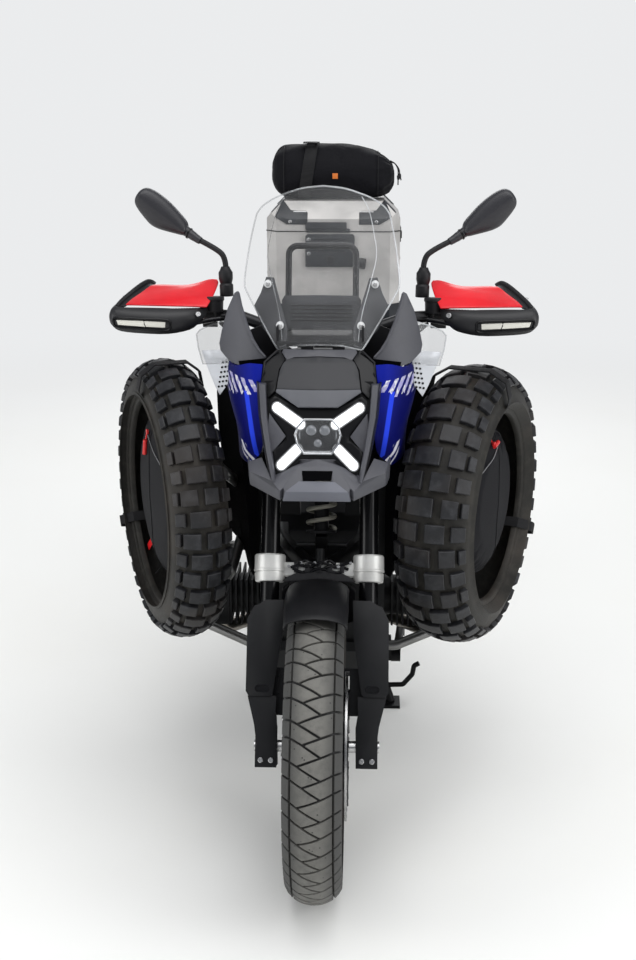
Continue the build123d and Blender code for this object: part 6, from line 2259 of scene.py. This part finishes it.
    def build(self) -> None:
        """Build the bag."""
        self.body()
        self.straps()
        self.toggles()


@dataclass
class TopCase:
    """Aluminium case: black corner guards, latches, clips, rivets, ribs and the lock plate."""

    front: float = 1420.0
    depth: float = 340.0
    half: float = 200.0

    def corner(self, form: Form, side: int, near: bool, low: float, high: float, reach: float) -> None:
        """One moulded guard that wraps a vertical edge and runs along the front or the back.

        Args:
            form: Where it is added.
            side: 1 for the left, -1 for the right.
            near: Whether it is at the front.
            low: Height of its foot.
            high: Height of its top.
            reach: How far it runs inwards from the corner.
        """
        d0 = self.front if near else self.front + self.depth
        step = 1 if near else -1
        lift = 3.2
        corners = [(170 - reach, -lift), (171.5, -lift), (self.half + lift, 29), (self.half + lift, 62),
                   (self.half + 0.3, 62), (self.half + 0.3, 30.2), (170.2, -0.3), (170 - reach, -0.3)]
        form.prism([mm(side * x, d0 + step * run, low) for x, run in corners], (0, 0, (high - low) / 1000))

    def guards(self) -> None:
        """Moulded guards round the lid's corners and the case's feet, with rivets."""
        form, lid, rivets = Form(), Form(), Form()
        for side in (1, -1):
            for near in (True, False):
                self.corner(form, side, near, 984, 1046, 34)
                d0, step = (self.front, 1) if near else (self.front + self.depth, -1)
                for z in (1000, 1032):
                    for x in (146, 164):
                        rivets.bolt(mm(side * x, d0 - step * 3.4, z), (0, -step, 0), 0.0042, 0.0016)
                rivets.bolt(mm(side * 128, d0 - step * 3.4, 1291), (0, -step, 0), 0.005, 0.0018)
                rows = [
                    (78, 1284, 140, 1284, 1302, 1316, 1322),
                    (78, 1299, 138, 1299, 1311, 1324, 1328),
                    (78, 1318, 124, 1318, 1330, 1335, 1338),
                    (96, 1320, 128, 1323, 1349.6, 1349.6, 1349.6),
                ]
                outer = [row_of([(x, d0 + step * run, z) for x, run, z in self.lid_row(row)], side)
                    for row in rows]
                middle = Vector((0, behind((d0 + step * 120) / 1000), 1.2))
                inner = [[p + (middle - p).normalized() * 0.0035 for p in row] for row in outer]
                self.skin(lid, outer, inner)
        Piece("case_guards", Body.CHASSIS, [CASE_PLASTIC], bevel=0.0012).make(form.outward())
        Piece("lid_guards", Body.CASE_LID, [CASE_PLASTIC], bevel=0.0012).make(lid.outward())
        Piece("case_rivets", Body.CHASSIS, [BRIGHT_STEEL]).make(rivets.outward())

    @staticmethod
    def lid_row(row: Sequence[float]) -> list[tuple[float, float, float]]:
        """Width, run and height of five points along the lid's slanting corner.

        Args:
            row: Two pairs of width and height on the front, then the corner's heights.

        Returns:
            The points, proud of the lid by a guard's thickness.
        """
        slope = [max(-3.2, z - 1303.2) for z in (row[1], row[3], *row[4:])]
        return [(row[0], slope[0], row[1]), (row[2], slope[1], row[3]),
                (170 - 0.414 * slope[2], slope[2], row[4]), (200 - slope[3], 30 + 0.414 * slope[3], row[5]),
                (200 - slope[4], 62 + 0.414 * slope[4], row[6])]

    @staticmethod
    def skin(form: Form, outer: Sequence[Sequence[Vector]], inner: Sequence[Sequence[Vector]]) -> None:
        """Close a shell between two open sheets of points."""
        a = [[form.mesh.verts.new(p) for p in row] for row in outer]
        b = [[form.mesh.verts.new(p) for p in row] for row in inner]
        rows, columns = len(a), len(a[0])
        for i in range(rows - 1):
            for j in range(columns - 1):
                form.face((a[i][j], a[i][j + 1], a[i + 1][j + 1], a[i + 1][j]))
                form.face((b[i][j], b[i + 1][j], b[i + 1][j + 1], b[i][j + 1]))
            form.face((a[i][0], a[i + 1][0], b[i + 1][0], b[i][0]))
            form.face((a[i][-1], b[i][-1], b[i + 1][-1], a[i + 1][-1]))
        for j in range(columns - 1):
            form.face((a[0][j], b[0][j], b[0][j + 1], a[0][j + 1]))
            form.face((a[-1][j], a[-1][j + 1], b[-1][j + 1], b[-1][j]))

    def trim(self) -> None:
        """Lid seam, latches, hinge cover, clips, ribs, and the lock plate with its barrel."""
        seam = Form()
        outline = [(170, 1420), (200, 1450), (200, 1730), (170, 1760), (-170, 1760), (-200, 1730),
            (-200, 1450), (-170, 1420)]
        ring = [mm(x * 1.004, 1590 + (d - 1590) * 1.004, 1262) for x, d in outline]
        seam.tube(bent(ring, 1, True), 0.0016, 6, loop=True)
        Piece("case_seam", Body.CHASSIS, [GLOSS_BLACK]).make(seam)
        ribs = Form()
        for side in (1, -1):
            for z in (1086, 1130, 1174):
                ribs.block(mm(side * 200.2, 1470, z), mm(side * 202.4, 1712, z + 8))
        for x in (-96, 0, 96):
            ribs.block(mm(x - 5, 1760.2, 1070), mm(x + 5, 1762.2, 1200))
        Piece("case_ribs", Body.CHASSIS, [CASE_ALLOY], slot="silver_alloy", bevel=0.0009).make(ribs.outward())
        plate = Form()
        outline = [(-83, 1158), (57, 1158), (64, 1166), (64, 1249), (58, 1255.5), (-76, 1255.5), (-83, 1249)]
        plate.prism([mm(x, self.front - 0.6, z) for x, z in outline], (0, -0.0105, 0))
        outline = [(-83, 1268), (40, 1268), (40, 1290), (-76, 1290), (-83, 1283)]
        cover = Form().prism([mm(x, self.front - 0.6, z) for x, z in outline], (0, -0.0085, 0))
        cover.tube([mm(-80, self.front, 1265), mm(50, self.front, 1265)], 0.0062, 16)
        Piece("hinge_cover", Body.CASE_LID, [CASE_PLASTIC], bevel=0.002).make(cover.outward())
        Piece("lock_plate", Body.CHASSIS, [CASE_PLASTIC], ["case_lock"], "black_plastic",
            bevel=0.002).make(plate.outward())
        lines = Form()
        for z in (1238, 1205):
            lines.block(mm(-58, self.front - 11.9, z), mm(46, self.front - 11.0, z + 2.2))
        Piece("lock_grooves", Body.CHASSIS, [GLOSS_BLACK]).make(lines.outward())
        screws = Form()
        for z in (1240, 1198):
            screws.bolt(mm(-73, self.front - 11.2, z), (0, -1, 0), 0.0055, 0.002)
        Piece("lock_screws", Body.CHASSIS, [BRIGHT_STEEL]).make(screws.outward())
        barrel = Form()
        profile = [(0, 0.0), (0, 0.016), (0.034, 0.016), (0.036, 0.014), (0.036, 0.0)]
        barrel.turned(profile, mm(62, self.front - 9, 1172), (0.9, -0.1, -0.1), 20)
        barrel.turned([(0, 0.012), (0.003, 0.012), (0.003, 0.0)], mm(-8, self.front - 11, 1180), (0, -1, 0),
            20)
        Piece("lock_barrel", Body.CHASSIS, [SOFT_BLACK], bevel=0.0006).make(barrel.outward())
        latch = Form()
        for side in (1, -1):
            latch.block(mm(side * 200.3, 1560, 1216), mm(side * 206, 1612, 1261))
            latch.block(mm(side * 200.3, 1568, 1226), mm(side * 209, 1604, 1248))
        for x in (-120, 120):
            latch.block(mm(x - 22, 1760.3, 1230), mm(x + 22, 1767, 1262))
        Piece("case_latches", Body.CHASSIS, [SOFT_BLACK], bevel=0.0014).make(latch.outward())
        clips = Form()
        for x in (-100, 100):
            for d in (1446, 1734):
                out = d - 10 if d < 1500 else d + 10
                clips.tube(row_of([(x - 19, d, 1312), (x - 19, out, 1318), (x + 19, out, 1318),
                    (x + 19, d, 1312)]), 0.0032, 8)
        Piece("lid_clips", Body.CASE_LID, [BRIGHT_STEEL]).make(clips)

    def build(self) -> None:
        """Build what the case carries."""
        self.guards()
        self.trim()


@dataclass
class Seats:
    """Rider's and pillion's seats."""

    def build(self) -> None:
        """Blow up both seats from their solids."""
        for node in ("seat_rider", "seat_pillion"):
            piece = Piece(node + "_pad", Body.CHASSIS, [SEAT_VINYL], [node], "seat_vinyl", sharp=180)
            base = min(vert.co.z for vert in frame["nodes"][node].data.vertices)

            def held(point: Vector, low: float = base) -> float:
                """Less swelling near the seat's base."""
                return min(max((point.z - low - 0.012) / 0.03, 0.05), 1.0)

            Cushion(piece, fill=0.8, cap=0.006, held=held).make(node_form(node, 0.004))


NODE_FINISHES: dict[str, Finish] = {
    "main_frame": FRAME_PAINT, "engine_case": CAST_DARK, "cylinders": CAST_DARK, "head_covers": CAST_GREY,
    "exhaust": EXHAUST_STEEL, "skid_plate": CAST_DARK, "fuel_tank": TANK_BLUE, "side_panels": TANK_BLUE,
    "front_cowl": BEAK_GREY, "headlamp": GLOSS_BLACK, "hood_panel": SOFT_BLACK, "windscreen": SCREEN_CLEAR,
    "screen_brackets": SOFT_BLACK, "wind_deflectors": BEAK_GREY, "winglets": WINGLET_CLEAR,
    "instrument_panel": PLATE_GREY, "nav_bar": BLACK_ANODISED, "radiators": CAST_DARK,
    "telelever_arm": FRAME_PAINT, "front_strut": SPRING_STEEL, "fork_tubes": FORK_TUBE,
    "fork_sliders": BLACK_ANODISED, "fork_bridge": SILVER_CLAMP, "top_yoke": BLACK_ANODISED,
    "handlebar": BLACK_ANODISED, "handguards": GUARD_BLACK, "guard_covers": COVER_RED, "mirrors": SOFT_BLACK,
    "mirror_glasses": MIRROR_FACE, "front_mudguard": SOFT_BLACK, "brake_calipers": BLACK_ANODISED,
    "front_axle": BRIGHT_STEEL, "front_tyre": TYRE_RUBBER, "front_rim": BLACK_ANODISED,
    "front_discs": BRIGHT_STEEL, "rear_tyre": TYRE_RUBBER, "rear_rim": BLACK_ANODISED,
    "swingarm": FRAME_PAINT, "rear_strut": SPRING_STEEL, "rear_hugger": SOFT_BLACK,
    "seat_rider": SEAT_VINYL, "seat_pillion": SEAT_VINYL, "rear_rack": BLACK_ANODISED,
    "tail_unit": SOFT_BLACK, "tail_lamp": TAIL_RED, "case_base": CASE_ALLOY, "case_lid": CASE_ALLOY,
    "case_lock": SOFT_BLACK, "roll_bag": BAG_CLOTH, "crash_bars_left": BAR_STEEL,
    "crash_bars_right": BAR_STEEL, "spare_tyre_left": KNOBBY_RUBBER, "spare_tyre_right": KNOBBY_RUBBER,
    "tyre_bag_left": BAG_CLOTH, "tyre_bag_right": BAG_CLOTH, "centre_stand": FRAME_PAINT,
    "stand_bracket": FRAME_PAINT, "side_stand": FRAME_PAINT, "footpegs": FRAME_PAINT,
}


@dataclass
class Studio:
    """Pale floor, soft lamps and the camera."""

    eye: Point = (0.088, -3.28, 1.69)
    pitch: float = 17.05
    yaw: float = -1.95
    lens: float = 48.75
    floor_half: float = 60.0
    backdrop: Colour = (0.83, 0.84, 0.85)

    def camera(self) -> None:
        """Stand the camera where the photograph was taken."""
        held = bpy.data.cameras.new("camera")
        held.lens, held.sensor_width = self.lens, 36.0
        held.clip_start, held.clip_end = 0.05, 60.0
        item = bpy.data.objects.new("camera", held)
        bpy.context.scene.collection.objects.link(item)
        yaw, pitch = radians(self.yaw), radians(self.pitch)
        look = Vector((sin(yaw) * cos(pitch), cos(yaw) * cos(pitch), -sin(pitch)))
        item.location = self.eye
        item.rotation_mode = "QUATERNION"
        item.rotation_quaternion = look.to_track_quat("-Z", "Y")
        bpy.context.scene.camera = item

    def floor(self) -> None:
        """Lay a pale floor that keeps the motorcycle's shadow."""
        half = self.floor_half
        form = Form().sheet([[(-half, -half, 0), (half, -half, 0)], [(-half, half, 0), (half, half, 0)]])
        mesh = bpy.data.meshes.new("studio_floor")
        form.mesh.to_mesh(mesh)
        form.mesh.free()
        item = bpy.data.objects.new("studio_floor", mesh)
        bpy.context.scene.collection.objects.link(item)
        shade = Shade("floor_pale")
        cloud = shade.noise(0.9, 4.0)
        colour = shade.mix(cloud.ramp(0.45, 0.8) * 0.4, (0.86, 0.865, 0.85), (0.82, 0.815, 0.78))
        shade.set(Base_Color=colour, Roughness=0.6, Specular_IOR_Level=0.1)
        reach = (shade.axis("X") ** 2.0 + shade.axis("Y") ** 2.0) ** 0.5
        pale = shade.node("ShaderNodeEmission", values={"Color": self.backdrop, "Strength": 1.0})
        own = Wire(shade, shade.surface.outputs[0])
        mixed = shade.node("ShaderNodeMixShader", values={0: reach.ramp(2.2, 6.0), 1: own, 2: pale})
        shade.tree.links.new(mixed.socket, shade.output.inputs["Surface"])
        mesh.materials.append(shade.material)

    def world(self) -> None:
        """Light everything evenly and show a pale backdrop to the eye, to metal and to glass."""
        world = bpy.data.worlds.new("studio")
        bpy.context.scene.world = world
        world.use_nodes = True
        tree = NodeTree(world.node_tree)
        straight, through, mirrored = (
            tree.node("ShaderNodeLightPath", output=f"Is {kind} Ray")
            for kind in ("Camera", "Transmission", "Glossy")
        )
        seen = straight.maths("MAXIMUM", straight, through)
        lit = tree.node("ShaderNodeBackground", values={"Color": (0.97, 0.98, 1.0), "Strength": 0.46})
        pale = tree.node("ShaderNodeBackground", values={"Color": self.backdrop, "Strength": 1.0})
        soft = tree.node("ShaderNodeBackground", values={"Color": (0.8, 0.83, 0.88), "Strength": 0.42})
        first = tree.node("ShaderNodeMixShader", values={0: mirrored, 1: lit, 2: soft})
        last = tree.node("ShaderNodeMixShader", values={0: seen, 1: first, 2: pale})
        exit_node = tree.tree.nodes.new("ShaderNodeOutputWorld")
        tree.tree.links.new(last.socket, exit_node.inputs["Surface"])

    def lamp(self, name: str, place: Point, aim: Point, size: tuple[float, float], power: float) -> None:
        """Hang one soft box.

        Args:
            name: The lamp's name.
            place: Where it hangs.
            aim: The point that it faces.
            size: Its width and height.
            power: Its power in watts.
        """
        held = bpy.data.lights.new(name, "AREA")
        held.shape, held.size, held.size_y = "RECTANGLE", *size
        held.energy = power
        item = bpy.data.objects.new(name, held)
        item.location = place
        item.rotation_mode = "QUATERNION"
        item.rotation_quaternion = (Vector(aim) - Vector(place)).to_track_quat("-Z", "Y")
        bpy.context.scene.collection.objects.link(item)

    def sun(self, name: str, towards: Point, strength: float) -> None:
        """Add a very soft even light from above."""
        held = bpy.data.lights.new(name, "SUN")
        held.energy, held.angle = strength, radians(70)
        item = bpy.data.objects.new(name, held)
        item.rotation_mode = "QUATERNION"
        item.rotation_quaternion = Vector(towards).to_track_quat("Z", "Y")
        bpy.context.scene.collection.objects.link(item)

    def build(self) -> None:
        """Set up the whole studio."""
        self.camera()
        self.floor()
        self.world()
        self.lamp("soft_top", (0.0, -1.4, 4.2), (0.0, -0.3, 0.6), (3.2, 2.4), 40.0)
        self.lamp("soft_left", (3.4, -2.2, 2.0), (0.0, -0.4, 0.8), (1.6, 2.6), 52.0)
        self.lamp("soft_right", (-3.4, -2.2, 2.0), (0.0, -0.4, 0.8), (1.6, 2.6), 44.0)
        self.lamp("soft_rear", (0.0, 4.0, 3.0), (0.0, 0.4, 0.8), (3.0, 2.0), 40.0)
        self.sun("soft_overhead", (0.25, -0.35, 1.0), 1.15)
        view = bpy.context.scene.view_settings
        view.view_transform = "Standard"


ASSEMBLIES: tuple[Callable[[], object], ...] = (
    Wheels, left_spare, right_spare, Cowl, Headlamp, Fairing, ScreenGroup, Guards, Grips, Mirrors, Fork,
    FrontStrut, RollBag, TopCase, Seats,
)


def main() -> None:
    """Dress the frame, build every sub-assembly and set up the studio."""
    logging.basicConfig(level=logging.INFO, format="%(message)s")
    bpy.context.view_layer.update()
    for node, finish in NODE_FINISHES.items():
        dress(node, finish)
    for assembly in ASSEMBLIES:
        assembly().build()
    Studio().build()


if __name__ == "__main__":
    main()
